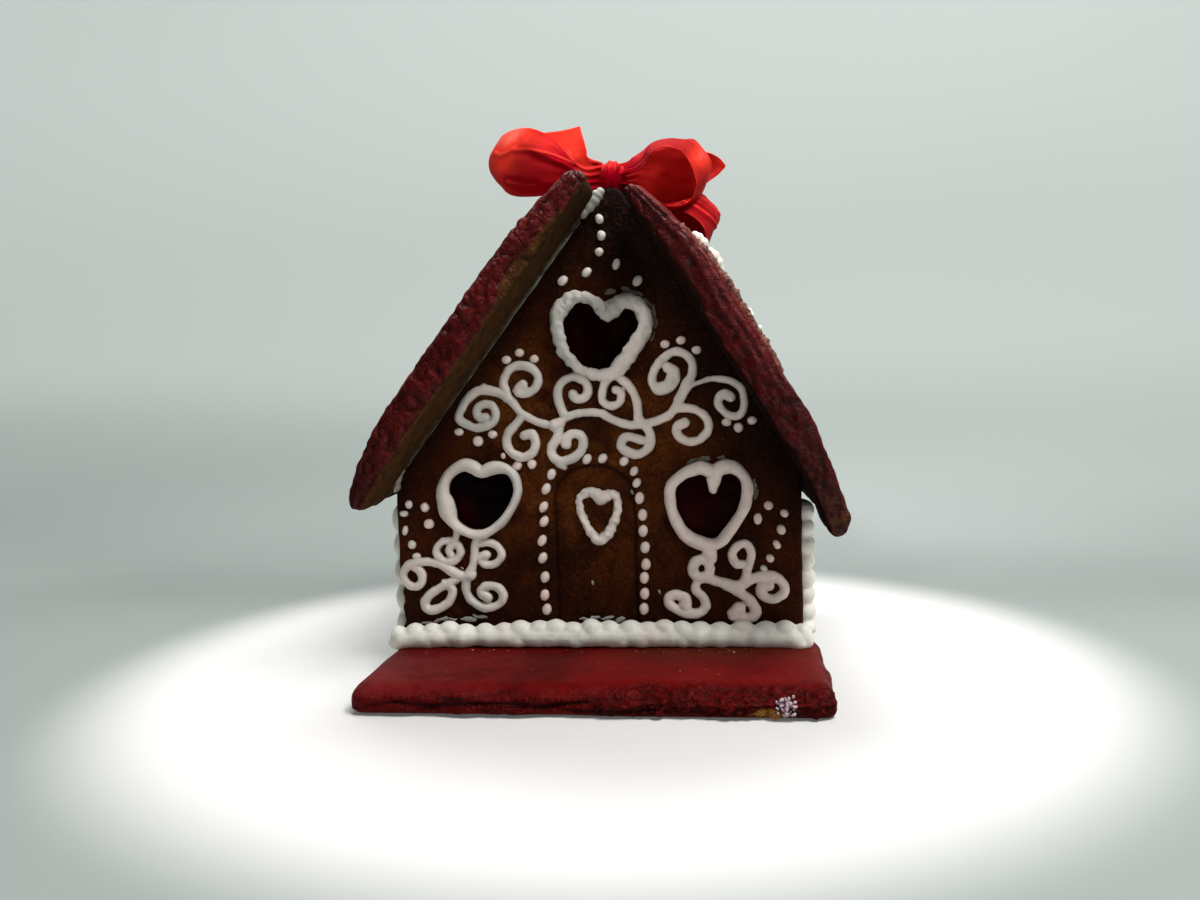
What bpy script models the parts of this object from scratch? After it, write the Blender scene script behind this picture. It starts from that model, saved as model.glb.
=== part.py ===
"""Gingerbread house on its own board, trimmed with piped icing and a ribbon bow.

The house faces -Y. The board rests on z = 0 and the origin is the middle of its underside.
Sizes are in millimetres and become metres as each piece is made and placed.
"""

import math
from collections import namedtuple

import bmesh
import bpy
from mathutils import Vector

MM = 0.001
GAP = 0.3

# board
BOARD_WIDTH = 173.6
BOARD_DEPTH = 180.0
BOARD_HEIGHT = 10.0
BOARD_CORNER = 6.0
BOARD_EDGE = 3.5
BOARD_FOOT = 1.2

# walls
WALL_LEFT = -84.5
WALL_RIGHT = 81.5
WALL_THICKNESS = 9.0
WALL_FOOT = BOARD_HEIGHT + GAP
FRONT_FACE = -31.0
BACK_FACE = 69.0
SIDE_INSET = 5.5
APEX_ROUND = 5.0

# roof: height of each underside over x = 0, its rise across, and where the panel starts and ends
LEFT_HEIGHT = 184.6
LEFT_RISE = 1.279
RIGHT_HEIGHT = 209.6
RIGHT_RISE = 1.632
ROOF_FRONT = -65.0
ROOF_BACK = 79.0
ROOF_EDGE = 2.0
Panel = namedtuple("Panel", "eave ridge middle eave_end ridge_end eave_reach ridge_reach")
LEFT_PANEL = Panel(0.0, 152.5, 12.6, 7.0, 7.5, 45.0, 42.0)
RIGHT_PANEL = Panel(2.0, 149.5, 12.1, 6.0, 4.5, 45.0, 42.0)

# door score line
DOOR_CENTRE = -1.7
DOOR_HALF_WIDTH = 16.8
DOOR_SPRING = 70.0
DOOR_TOP = 83.5
DOOR_LINE = 1.2
DOOR_DEPTH = 0.9

# candy panes in the windows
PANE_THICKNESS = 3.5
PANE_GAP = 0.4
WINDOW_RIM = -0.5

# piped icing
FRAME_HEIGHT = 3.4
DOOR_FRAME_HEIGHT = 2.6
BEAD_PITCH = 8.8
BEAD_SIDES = 8
BASE_ROPE = (4.4, 5.4)
SIDE_ROPE = (3.9, 4.8)
CORNER_ROPE = (4.6, 4.6)
RIDGE_ROPE = (5.6, 6.0)
ROPE_LEFT = -87.0
ROPE_RIGHT = 85.0
CORNER_TOP_LEFT = 68.0
CORNER_TOP_RIGHT = 67.0
RIDGE_X = 9.6
RIDGE_Z = 185.6

# ribbon
RIBBON_THICKNESS = 0.9
BOW_CENTRE = (8.0, -22.0, 199.8)
KNOT_SIZE = (8.0, 9.5, 6.6)

# piped heart strokes, clockwise from the notch: (x, z, half width)
TOP_HEART = (
    (5.7, 144.5, 3.6), (10.0, 147.2, 3.6), (14.0, 148.5, 3.2), (18.3, 146.3, 3.2), (20.9, 141.6, 3.1),
    (20.2, 135.9, 3.2), (16.2, 130.3, 3.3), (11.8, 124.3, 3.4), (7.0, 119.9, 2.9), (1.0, 119.6, 2.5),
    (-5.8, 122.1, 2.1), (-9.6, 125.8, 2.4), (-12.3, 129.9, 2.7), (-14.4, 137.8, 2.8), (-14.0, 144.4, 3.2),
    (-10.4, 148.9, 3.1), (-6.2, 150.9, 2.7), (-0.4, 149.8, 2.2), (3.0, 146.5, 2.6),
)
LEFT_HEART = (
    (-47.9, 81.3, 2.6), (-43.0, 83.0, 2.9), (-37.6, 82.4, 2.2), (-34.2, 79.2, 1.9), (-33.1, 73.5, 1.9),
    (-35.6, 66.7, 1.9), (-40.3, 60.5, 2.0), (-45.6, 56.6, 1.9), (-50.2, 55.2, 2.2), (-55.8, 56.8, 2.1),
    (-60.6, 60.3, 2.4), (-62.6, 64.5, 3.9), (-63.7, 69.0, 3.7), (-64.6, 73.0, 3.0), (-63.2, 78.4, 2.4),
    (-59.6, 82.3, 2.4), (-55.0, 84.3, 2.8), (-51.2, 83.2, 2.9),
)
RIGHT_HEART = (
    (46.6, 79.6, 3.0), (50.3, 81.2, 3.2), (54.6, 81.0, 2.7), (58.2, 77.8, 2.4), (59.9, 73.4, 2.5),
    (59.2, 67.5, 2.5), (56.7, 61.6, 2.4), (52.8, 55.9, 2.4), (48.6, 51.2, 2.5), (44.4, 50.0, 2.9),
    (38.8, 51.5, 2.9), (34.0, 55.2, 2.8), (30.8, 60.8, 2.5), (29.1, 67.0, 2.4), (29.4, 73.3, 2.4),
    (32.3, 77.3, 2.3), (36.6, 79.8, 2.5), (41.8, 81.2, 2.9),
)
DOOR_HEART = (
    (1.5, 69.8, 3.0), (4.5, 71.0, 2.3), (7.0, 70.3, 1.9), (7.9, 67.0, 1.7), (7.2, 63.2, 1.8),
    (5.4, 58.0, 1.9), (2.4, 53.9, 2.3), (-0.6, 52.7, 2.3), (-3.4, 55.6, 1.9), (-5.9, 60.2, 1.7),
    (-7.4, 65.4, 1.6), (-7.3, 70.2, 1.7), (-3.6, 72.4, 2.2), (-0.5, 71.2, 2.5),
)
WINDOWS = (("top", TOP_HEART), ("left", LEFT_HEART), ("right", RIGHT_HEART))

Finish = namedtuple("Finish", "name colour roughness")
BROWN_BISCUIT = Finish("brown_gingerbread", (0.060, 0.022, 0.008), 0.70)
RED_BISCUIT = Finish("red_gingerbread", (0.120, 0.012, 0.012), 0.65)
WHITE_ICING = Finish("royal_icing", (0.620, 0.600, 0.550), 0.45)
DARK_CANDY = Finish("dark_candy_glass", (0.012, 0.002, 0.003), 0.10)
RED_RIBBON = Finish("satin_ribbon", (0.620, 0.020, 0.015), 0.40)


def clear_scene():
    """Remove whatever the new file starts with."""
    for item in list(bpy.data.objects):
        bpy.data.objects.remove(item, do_unlink=True)


def make_material(name, finish):
    """Return a material of the given finish for the named piece."""
    material = bpy.data.materials.new(finish.name + "_" + name)
    material.use_nodes = True
    shader = material.node_tree.nodes["Principled BSDF"]
    shader.inputs["Base Color"].default_value = (*finish.colour, 1.0)
    shader.inputs["Roughness"].default_value = finish.roughness
    shader.inputs["Metallic"].default_value = 0.0
    return material


def make_group(name, location):
    """Return an empty that carries a group of pieces."""
    group = bpy.data.objects.new(name, None)
    group.location = Vector(location) * MM
    bpy.context.scene.collection.objects.link(group)
    return group


def make_piece(name, shape, finish, location, rotation=(0.0, 0.0, 0.0), parent=None, smooth=False):
    """Turn a bmesh, drawn in millimetres, into a placed object."""
    bmesh.ops.scale(shape, vec=(MM, MM, MM), verts=shape.verts[:])
    bmesh.ops.recalc_face_normals(shape, faces=shape.faces[:])
    for face in shape.faces:
        face.smooth = smooth
    mesh = bpy.data.meshes.new(name)
    shape.to_mesh(mesh)
    shape.free()
    piece = bpy.data.objects.new(name, mesh)
    piece.location = Vector(location) * MM
    piece.rotation_euler = rotation
    piece.parent = parent
    bpy.context.scene.collection.objects.link(piece)
    piece.data.materials.append(make_material(name, finish))
    return piece


def extruded(outline, depth):
    """Extrude an (x, z) outline along +Y."""
    shape = bmesh.new()
    face = shape.faces.new([shape.verts.new((x, 0.0, z)) for x, z in outline])
    grown = bmesh.ops.extrude_face_region(shape, geom=[face])
    moved = [part for part in grown["geom"] if isinstance(part, bmesh.types.BMVert)]
    bmesh.ops.translate(shape, vec=(0.0, depth, 0.0), verts=moved)
    return shape


def skinned(rings, ring_closed=False):
    """Skin equal rings of points, capping both ends of an open run."""
    shape = bmesh.new()
    rows = [[shape.verts.new(point) for point in ring] for ring in rings]
    sides = len(rows[0])
    last = len(rows) if ring_closed else len(rows) - 1
    for i in range(last):
        row = rows[i]
        following = rows[(i + 1) % len(rows)]
        for j in range(sides):
            k = (j + 1) % sides
            shape.faces.new((row[j], row[k], following[k], following[j]))
    if not ring_closed:
        shape.faces.new(rows[0])
        shape.faces.new(rows[-1])
    return shape


def cut(piece, name, outline, start, depth):
    """Cut an (x, z) outline into a piece from a start along Y."""
    cutter = make_piece(name, extruded(outline, depth), BROWN_BISCUIT, (0.0, start, 0.0))
    cutter.hide_render = True
    cutter.display_type = "WIRE"
    step = piece.modifiers.new(name, "BOOLEAN")
    step.operation = "DIFFERENCE"
    step.solver = "EXACT"
    step.object = cutter


def make_board(house):
    """The red gingerbread board, soft along its upper edge."""
    shape = bmesh.new()
    bmesh.ops.create_cube(shape, size=1.0)
    bmesh.ops.scale(shape, vec=(BOARD_WIDTH, BOARD_DEPTH, BOARD_HEIGHT), verts=shape.verts[:])
    upright = [edge for edge in shape.edges if abs(edge.verts[0].co.z - edge.verts[1].co.z) > BOARD_FOOT]
    bmesh.ops.bevel(shape, geom=upright, offset=BOARD_CORNER, segments=4, profile=0.5, affect="EDGES")
    for height, offset, segments in ((1.0, BOARD_EDGE, 3), (-1.0, BOARD_FOOT, 1)):
        rim = [edge for edge in shape.edges
               if all(vert.co.z * height > BOARD_HEIGHT * 0.49 for vert in edge.verts)]
        bmesh.ops.bevel(shape, geom=rim, offset=offset, segments=segments, profile=0.5, affect="EDGES")
    make_piece("base_board", shape, RED_BISCUIT, (0.0, 0.0, BOARD_HEIGHT / 2), parent=house)


def underside(x, side):
    """Height of the roof's underside over x on the left (-1) or right (+1) slope."""
    if side < 0:
        return LEFT_HEIGHT + LEFT_RISE * x
    return RIGHT_HEIGHT - RIGHT_RISE * x


def gable_outline():
    """Outline of a gable wall, with its apex rounded off."""
    apex_x = (RIGHT_HEIGHT - LEFT_HEIGHT) / (LEFT_RISE + RIGHT_RISE)
    right_angle = math.atan2(1.0, RIGHT_RISE)
    left_angle = math.atan2(1.0, -LEFT_RISE)
    half_turn = (left_angle - right_angle) / 2
    middle = (left_angle + right_angle) / 2
    drop = APEX_ROUND / math.cos(half_turn)
    centre_x = apex_x - drop * math.cos(middle)
    centre_z = underside(apex_x, 1) - drop * math.sin(middle)
    outline = [(WALL_LEFT, WALL_FOOT), (WALL_RIGHT, WALL_FOOT), (WALL_RIGHT, underside(WALL_RIGHT, 1))]
    for step in range(6):
        angle = right_angle + 2 * half_turn * step / 5
        x = centre_x + APEX_ROUND * math.cos(angle)
        outline.append((x, centre_z + APEX_ROUND * math.sin(angle)))
    outline.append((WALL_LEFT, underside(WALL_LEFT, -1)))
    return outline


def round_spline(points, place):
    """Smooth value at a place around a closed list of control points."""
    count = len(points)
    index = int(place) % count
    t = place - int(place)
    run = (points[index - 1], points[index], points[(index + 1) % count], points[(index + 2) % count])
    values = []
    for before, start, stop, after in zip(*run):
        curve = (2 * before - 5 * start + 4 * stop - after) * t ** 2
        curve += (3 * start - before - 3 * stop + after) * t ** 3
        values.append(0.5 * (2 * start + (stop - before) * t + curve))
    return values


def heart_point(heart, turn, part):
    """Point on a heart stroke: part -1 is its inner edge and +1 its outer edge."""
    place = turn * len(heart)
    x, z, half_width = round_spline(heart, place)
    x_ahead, z_ahead, _ = round_spline(heart, place + 0.05)
    run = x_ahead - x
    rise = z_ahead - z
    length = math.hypot(run, rise)
    return x - part * half_width * rise / length, z + part * half_width * run / length


def heart_outline(heart, part, count=44):
    """Closed outline along a heart stroke."""
    return [heart_point(heart, i / count, part) for i in range(count)]


def shrink(outline, distance):
    """Move each point of a clockwise outline inwards, square to its neighbours."""
    moved = []
    for i, (x, z) in enumerate(outline):
        before = outline[i - 1]
        after = outline[(i + 1) % len(outline)]
        run = after[0] - before[0]
        rise = after[1] - before[1]
        length = math.hypot(run, rise)
        moved.append((x + distance * rise / length, z - distance * run / length))
    return moved


def arch(half_width, top):
    """Arched door outline, open at its foot."""
    foot = WALL_FOOT - DOOR_LINE
    points = [(DOOR_CENTRE - half_width, foot)]
    for step in range(13):
        angle = math.pi * (1 - step / 12)
        x = DOOR_CENTRE + half_width * math.cos(angle)
        points.append((x, DOOR_SPRING + (top - DOOR_SPRING) * math.sin(angle)))
    points.append((DOOR_CENTRE + half_width, foot))
    return points


def make_walls(house):
    """Two gable walls and two side walls, each a flat biscuit panel."""
    front = make_piece("front_wall", extruded(gable_outline(), WALL_THICKNESS), BROWN_BISCUIT,
                       (0.0, FRONT_FACE, 0.0), parent=house)
    for label, heart in WINDOWS:
        cut(front, "hole_" + label, heart_outline(heart, WINDOW_RIM), FRONT_FACE - WALL_THICKNESS,
            3 * WALL_THICKNESS)
    door = arch(DOOR_HALF_WIDTH, DOOR_TOP) + arch(DOOR_HALF_WIDTH - DOOR_LINE, DOOR_TOP - DOOR_LINE)[::-1]
    cut(front, "score_door", door, FRONT_FACE - WALL_THICKNESS, WALL_THICKNESS + DOOR_DEPTH)
    make_piece("back_wall", extruded(gable_outline(), WALL_THICKNESS), BROWN_BISCUIT,
               (0.0, BACK_FACE - WALL_THICKNESS, 0.0), parent=house)
    depth = BACK_FACE - FRONT_FACE - 2 * WALL_THICKNESS - 2 * GAP
    for name, outer, side in (("left_wall", WALL_LEFT + SIDE_INSET, -1),
                              ("right_wall", WALL_RIGHT - SIDE_INSET, 1)):
        inner = outer - side * WALL_THICKNESS
        outline = [(outer, WALL_FOOT), (inner, WALL_FOOT), (inner, underside(inner, side) - GAP),
                   (outer, underside(outer, side) - GAP)]
        make_piece(name, extruded(outline, depth), BROWN_BISCUIT,
                   (0.0, FRONT_FACE + WALL_THICKNESS + GAP, 0.0), parent=house)


def make_panes(house):
    """Dark candy set into the rear part of each heart window."""
    start = FRONT_FACE + WALL_THICKNESS - PANE_THICKNESS
    for label, heart in WINDOWS:
        outline = shrink(heart_outline(heart, WINDOW_RIM), PANE_GAP)
        make_piece("pane_" + label, extruded(outline, PANE_THICKNESS), DARK_CANDY, (0.0, start, 0.0),
                   parent=house)


def swell(distance, reach, end, middle):
    """Thickness a distance in from an edge that thins towards its end."""
    share = min(1.0, distance / reach)
    return end + (middle - end) * math.sin(math.pi / 2 * share)


def panel_outline(panel, steps=14):
    """Section of a roof panel lying flat, from its eave at the left to its ridge at the right."""
    length = panel.ridge - panel.eave
    upper = []
    for step in range(steps + 1):
        place = 1.5 + (length - 3.0) * step / steps
        from_eave = swell(place, panel.eave_reach, panel.eave_end, panel.middle)
        from_ridge = swell(length - place, panel.ridge_reach, panel.ridge_end, panel.middle)
        upper.append((place, min(from_eave, from_ridge)))
    eave_side = [(1.5, 0.0), (0.0, 0.3 * panel.eave_end), (0.0, 0.75 * panel.eave_end)]
    ridge_side = [(length, 0.75 * panel.ridge_end), (length, 0.3 * panel.ridge_end), (length - 1.5, 0.0)]
    return eave_side + upper + ridge_side


def make_roof(house):
    """Two thick red roof panels, modelled flat and pitched against the gables."""
    depth = ROOF_BACK - ROOF_FRONT
    for name, panel, height, rise, side in (("roof_left", LEFT_PANEL, LEFT_HEIGHT, LEFT_RISE, -1),
                                            ("roof_right", RIGHT_PANEL, RIGHT_HEIGHT, RIGHT_RISE, 1)):
        outline = [(-side * place, out) for place, out in panel_outline(panel)]
        shape = extruded(outline, depth)
        rim = [edge for edge in shape.edges if abs(edge.verts[0].co.y - edge.verts[1].co.y) < GAP]
        bmesh.ops.bevel(shape, geom=rim, offset=ROOF_EDGE, segments=2, profile=0.5, affect="EDGES",
                        clamp_overlap=True)
        run = math.hypot(1.0, rise)
        away = height / run + GAP
        x = side * (rise * away - panel.eave) / run
        z = (away + panel.eave * rise) / run
        make_piece(name, shape, RED_BISCUIT, (x, ROOF_FRONT, z),
                   rotation=(0.0, side * math.atan(rise), 0.0), parent=house)


def bead_rope(length, half_across, half_up, pitch=BEAD_PITCH):
    """A piped rope along +X, pinched between its beads."""
    count = 2 * max(1, round(length / pitch))
    rings = []
    for i in range(count + 1):
        full = 1.0 if i % 2 else 0.80
        if i in (0, count):
            full = 0.45
        ring = []
        for j in range(BEAD_SIDES):
            angle = 2 * math.pi * (j + 0.5) / BEAD_SIDES
            ring.append((length * i / count, half_across * full * math.cos(angle),
                         half_up * full * math.sin(angle)))
        rings.append(ring)
    return skinned(rings)


def make_icing_ropes(house):
    """Icing ropes around the foot of the walls, up the corners and along the ridge."""
    left_x = WALL_LEFT + SIDE_INSET
    right_x = WALL_RIGHT - SIDE_INSET
    inner_front = FRONT_FACE + WALL_THICKNESS + GAP
    inner_back = BACK_FACE - WALL_THICKNESS - GAP
    corner = CORNER_ROPE[0]
    for name, y in (("icing_base_front", FRONT_FACE - GAP - BASE_ROPE[0]),
                    ("icing_base_back", BACK_FACE + GAP + BASE_ROPE[0])):
        make_piece(name, bead_rope(ROPE_RIGHT - ROPE_LEFT, *BASE_ROPE), WHITE_ICING,
                   (ROPE_LEFT, y, WALL_FOOT + BASE_ROPE[1]), parent=house, smooth=True)
    for name, x in (("icing_base_left", left_x - GAP - SIDE_ROPE[0]),
                    ("icing_base_right", right_x + GAP + SIDE_ROPE[0])):
        length = inner_back - inner_front - 4 * corner - 2 * GAP
        make_piece(name, bead_rope(length, *SIDE_ROPE), WHITE_ICING,
                   (x, inner_front + 2 * corner + GAP, WALL_FOOT + SIDE_ROPE[1]),
                   rotation=(0.0, 0.0, math.pi / 2), parent=house, smooth=True)
    for label, x, top in (("left", left_x - GAP - corner, CORNER_TOP_LEFT),
                          ("right", right_x + GAP + corner, CORNER_TOP_RIGHT)):
        for place, y in (("front", inner_front + corner), ("back", inner_back - corner)):
            make_piece("icing_corner_" + place + "_" + label, bead_rope(top - WALL_FOOT, *CORNER_ROPE),
                       WHITE_ICING, (x, y, WALL_FOOT), rotation=(0.0, -math.pi / 2, 0.0), parent=house,
                       smooth=True)
    make_piece("icing_ridge", bead_rope(inner_back - inner_front, *RIDGE_ROPE), WHITE_ICING,
               (RIDGE_X, inner_front, RIDGE_Z), rotation=(0.0, 0.0, math.pi / 2), parent=house, smooth=True)


def make_frames(house):
    """Heart outlines piped around the windows and on the door."""
    section = ((-1.0, 0.0), (-0.95, 0.55), (-0.45, 0.95), (0.45, 0.95), (0.95, 0.55), (1.0, 0.0))
    frames = [("frame_" + label, heart, FRAME_HEIGHT) for label, heart in WINDOWS]
    frames.append(("frame_door", DOOR_HEART, DOOR_FRAME_HEIGHT))
    for name, heart, height in frames:
        rings = []
        for i in range(36):
            ring = []
            for part, level in section:
                x, z = heart_point(heart, i / 36, part)
                ring.append((x, -height * level, z))
            rings.append(ring)
        make_piece(name, skinned(rings, ring_closed=True), WHITE_ICING, (0.0, FRONT_FACE - GAP, 0.0),
                   parent=house, smooth=True)


def spline(values, place):
    """Smooth value at a place along an open list of control values."""
    index = min(int(place), len(values) - 2)
    t = place - index
    before = values[max(index - 1, 0)]
    start = values[index]
    stop = values[index + 1]
    after = values[min(index + 2, len(values) - 1)]
    curve = (before * 2 - start * 5 + stop * 4 - after) * t * t
    curve += (start * 3 - before - stop * 3 + after) * t * t * t
    return (start * 2 + (stop - before) * t + curve) * 0.5


def ribbon(path, half_widths, across, steps=24):
    """A band of ribbon along a path, given thickness."""
    centres = [Vector(point) for point in path]
    across = Vector(across).normalized()
    end = len(centres) - 1
    rings = []
    for i in range(steps + 1):
        place = end * i / steps
        middle = spline(centres, place)
        tangent = spline(centres, min(place + 0.05, end)) - spline(centres, max(place - 0.05, 0.0))
        tangent.normalize()
        spread = (across - tangent * across.dot(tangent)).normalized() * spline(half_widths, place)
        normal = tangent.cross(spread).normalized() * (RIBBON_THICKNESS / 2)
        rings.append([middle - spread + normal, middle + normal, middle + spread + normal,
                      middle + spread - normal, middle - normal, middle - spread - normal])
    return skinned(rings)


def make_bow():
    """Satin bow on the ridge just behind the front gable, drawn about the middle of its knot."""
    bow = make_group("bow", BOW_CENTRE)
    knot = bmesh.new()
    bmesh.ops.create_uvsphere(knot, u_segments=14, v_segments=8, radius=1.0)
    bmesh.ops.scale(knot, vec=KNOT_SIZE, verts=knot.verts[:])
    make_piece("bow_knot", knot, RED_RIBBON, (0.0, 0.0, 0.0), parent=bow, smooth=True)

    loop_left = [(-9.2, -5.0, 0.2), (-17.0, -9.5, 2.2), (-30.0, -12.5, 6.2), (-43.0, -9.5, 7.7),
                 (-50.0, 0.0, 7.7), (-44.0, 9.5, 7.2), (-30.0, 12.5, 5.2), (-17.0, 9.0, 2.2),
                 (-9.2, 4.5, 0.2)]
    widths = [5.0, 8.0, 12.8, 12.5, 9.5, 12.0, 12.5, 8.0, 5.0]
    make_piece("bow_loop_left", ribbon(loop_left, widths, (0.0, 0.0, 1.0)), RED_RIBBON, (0.0, 0.0, 0.0),
               parent=bow, smooth=True)

    loop_right = [(9.0, 0.0, 3.7), (16.0, -0.5, 8.2), (25.0, -1.0, 11.7), (34.0, -0.5, 10.2),
                  (40.0, 0.0, 3.2), (39.0, 0.0, -5.8), (32.0, -0.5, -13.0), (23.0, -1.0, -12.6),
                  (15.0, -0.5, -7.3), (9.0, 0.0, -2.8)]
    widths = [5.0, 8.0, 12.0, 12.5, 12.5, 12.5, 12.5, 11.5, 8.0, 5.0]
    make_piece("bow_loop_right", ribbon(loop_right, widths, (0.25, 1.0, 0.05)), RED_RIBBON, (0.0, 0.0, 0.0),
               parent=bow, smooth=True)

    tail_right = [(9.2, 8.0, -6.3), (15.0, 8.0, -10.5), (23.0, 8.0, -15.2), (32.0, 8.0, -17.0),
                  (40.0, 8.0, -19.0), (42.5, 8.0, -23.3), (38.5, 8.0, -27.0), (32.5, 8.0, -27.3)]
    widths = [4.0, 6.0, 9.0, 10.5, 11.0, 10.5, 9.0, 8.0]
    make_piece("bow_tail_right", ribbon(tail_right, widths, (0.1, 1.0, 0.0)), RED_RIBBON, (0.0, 0.0, 0.0),
               parent=bow, smooth=True)

    tail_left = [(-8.5, 0.5, 5.2), (-12.0, 0.5, 9.0), (-16.0, 0.5, 13.0), (-20.0, 0.5, 16.5)]
    make_piece("bow_tail_left", ribbon(tail_left, [4.0, 7.0, 9.5, 10.0], (1.0, 0.0, 0.1), steps=8), RED_RIBBON,
               (0.0, 0.0, 0.0), parent=bow, smooth=True)


def main():
    """Build every piece of the house."""
    clear_scene()
    house = make_group("house", (0.0, 0.0, 0.0))
    make_board(house)
    make_walls(house)
    make_panes(house)
    make_roof(house)
    make_icing_ropes(house)
    make_frames(house)
    make_bow()


main()
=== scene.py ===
"""Gingerbread house on a red board, piped with white icing and tied with a satin bow.

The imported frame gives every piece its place. Shapes are drawn in millimetres in the frame's own
axes, with the house facing -Y, and become metres when a mesh is made.
"""

import logging
import math
from dataclasses import dataclass, field
from enum import Enum
from typing import Callable, Iterable, Sequence

import bmesh
import bpy
import numpy as np
from mathutils import Matrix, Vector
from mathutils.geometry import delaunay_2d_cdt


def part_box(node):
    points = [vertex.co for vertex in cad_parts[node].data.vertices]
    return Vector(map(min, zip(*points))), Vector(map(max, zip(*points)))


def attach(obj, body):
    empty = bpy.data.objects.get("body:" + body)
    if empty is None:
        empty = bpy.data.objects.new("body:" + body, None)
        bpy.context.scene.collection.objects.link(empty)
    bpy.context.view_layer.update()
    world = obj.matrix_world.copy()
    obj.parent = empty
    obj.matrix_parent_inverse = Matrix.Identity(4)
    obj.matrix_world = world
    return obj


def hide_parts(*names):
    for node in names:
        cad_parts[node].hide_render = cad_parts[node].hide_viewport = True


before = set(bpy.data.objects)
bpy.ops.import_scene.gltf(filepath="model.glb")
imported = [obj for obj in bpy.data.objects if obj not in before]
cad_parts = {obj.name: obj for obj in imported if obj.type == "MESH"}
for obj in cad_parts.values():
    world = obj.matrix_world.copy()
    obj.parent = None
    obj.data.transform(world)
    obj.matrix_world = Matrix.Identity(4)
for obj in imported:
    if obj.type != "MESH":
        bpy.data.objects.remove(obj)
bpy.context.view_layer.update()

MM = 0.001
log = logging.getLogger("gingerbread_house")

Array = np.ndarray
Spot = tuple[float, float, float]
Colour = tuple[float, float, float]
Rim = tuple[Spot, ...]
Mark = tuple[float, float, float, float, float]
EVEN = (1.0, 1.0, 1.0)


# ----- Shapes -----


class Relief:
    """Smooth seeded noise in space, from about -1 to 1 and the same on every run."""

    def __init__(self, seed: int) -> None:
        """Draw the noise's slopes.

        Args:
            seed: number that picks the pattern.
        """
        source = np.random.default_rng(seed)
        self.order = source.permutation(256)
        slopes = source.normal(size=(256, 3))
        self.slopes = slopes / np.linalg.norm(slopes, axis=1, keepdims=True)

    def at(self, points: Array, pitch: float, stretch: Sequence[float] = EVEN) -> Array:
        """Sample the noise.

        Args:
            points: places, in millimetres.
            pitch: size of one lump, in millimetres.
            stretch: how much longer the lumps are along each axis.

        Returns:
            One value for each point.
        """
        scaled = points / (pitch * np.array(stretch))
        cell = np.floor(scaled).astype(int)
        inside = scaled - cell
        fade = inside ** 3 * (inside * (inside * 6 - 15) + 10)
        total = np.zeros(len(points))
        for corner in np.ndindex(2, 2, 2):
            offset = np.array(corner)
            spot = (cell + offset) & 255
            slot = self.order[(self.order[(self.order[spot[:, 0]] + spot[:, 1]) & 255] + spot[:, 2]) & 255]
            weight = np.prod(np.where(offset == 1, fade, 1 - fade), axis=1)
            total += weight * np.sum(self.slopes[slot] * (inside - offset), axis=1)
        return total * 1.6

    def crust(self, points: Array, pitch: float, layers: int = 3,
              stretch: Sequence[float] = EVEN) -> Array:
        """Sample rounded lumps with sharp creases between them.

        Args:
            points: places, in millimetres.
            pitch: size of the largest lumps, in millimetres.
            layers: how many sizes of lump are added, each half the last.
            stretch: how much longer the lumps are along each axis.

        Returns:
            One value for each point, from 0 in a crease to about 1.
        """
        total = np.zeros(len(points))
        share = 0.0
        for layer in range(layers):
            weight = 0.55 ** layer
            moved = points + 17.3 * layer
            total += weight * np.minimum(1.0, 2.2 * np.abs(self.at(moved, pitch / 2 ** layer, stretch)))
            share += weight
        return total / share


def soft_step(values: Array, low: float, high: float) -> Array:
    """Rise smoothly from 0 at low to 1 at high."""
    share = np.clip((values - low) / (high - low), 0.0, 1.0)
    return share * share * (3 - 2 * share)


def soft_drop(values: Array, low: float, high: float) -> Array:
    """Fall smoothly from 1 at low to 0 at high."""
    return soft_step(-values, -high, -low)


def hump(values: Array, reach: float, middle: float = 0.0) -> Array:
    """Bell that is 1 at its middle and fades over its reach."""
    return np.exp(-((values - middle) / reach) ** 2)


def upright(across: Array, back: float, up: Array) -> Array:
    """Points of a drawing that stands across the house at one depth."""
    return np.column_stack([across, np.full(len(across), back), up])


def quarter_turn(ahead: Array) -> Array:
    """Flat directions a quarter turn from the given ones."""
    return np.column_stack([-ahead[:, 1], ahead[:, 0]])


def smooth_run(knots: Array, step: float, closed: bool = False, axes: int = 3) -> Array:
    """Run a smooth line through knots at even steps.

    Args:
        knots: one row for each knot; columns after the first axes are carried along.
        step: distance between the points that come back.
        closed: whether the line joins its own start.
        axes: how many columns are a place.

    Returns:
        The points, one row each.
    """
    count = len(knots)
    spans = count if closed else count - 1
    shares = np.linspace(0.0, 1.0, 12, endpoint=False)[:, None]
    rows = []
    for i in range(spans):
        if closed:
            before, start, stop, after = (knots[(i + k) % count] for k in (-1, 0, 1, 2))
        else:
            before, start = knots[max(i - 1, 0)], knots[i]
            stop, after = knots[i + 1], knots[min(i + 2, count - 1)]
        bend = (2 * before - 5 * start + 4 * stop - after) * shares ** 2
        twist = (3 * start - before - 3 * stop + after) * shares ** 3
        rows.append(0.5 * (2 * start + (stop - before) * shares + bend + twist))
    rows.append(knots[:1] if closed else knots[-1:])
    dense = np.vstack(rows)
    travelled = np.concatenate([[0.0], np.cumsum(np.linalg.norm(np.diff(dense[:, :axes], axis=0), axis=1))])
    total = max(2, int(round(travelled[-1] / step)) + 1)
    places = np.linspace(0.0, travelled[-1], total)
    run = np.column_stack([np.interp(places, travelled, dense[:, k]) for k in range(dense.shape[1])])
    return run[:-1] if closed else run


def lengthwise(run: Array, closed: bool = False) -> Array:
    """Unit direction of a line at each of its points.

    Args:
        run: points of the line.
        closed: whether the line closes on itself.

    Returns:
        One direction for each point.
    """
    if closed:
        ahead = np.roll(run, -1, axis=0) - np.roll(run, 1, axis=0)
    else:
        ahead = np.gradient(run, axis=0)
    return ahead / np.maximum(np.linalg.norm(ahead, axis=1, keepdims=True), 1e-9)


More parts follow.
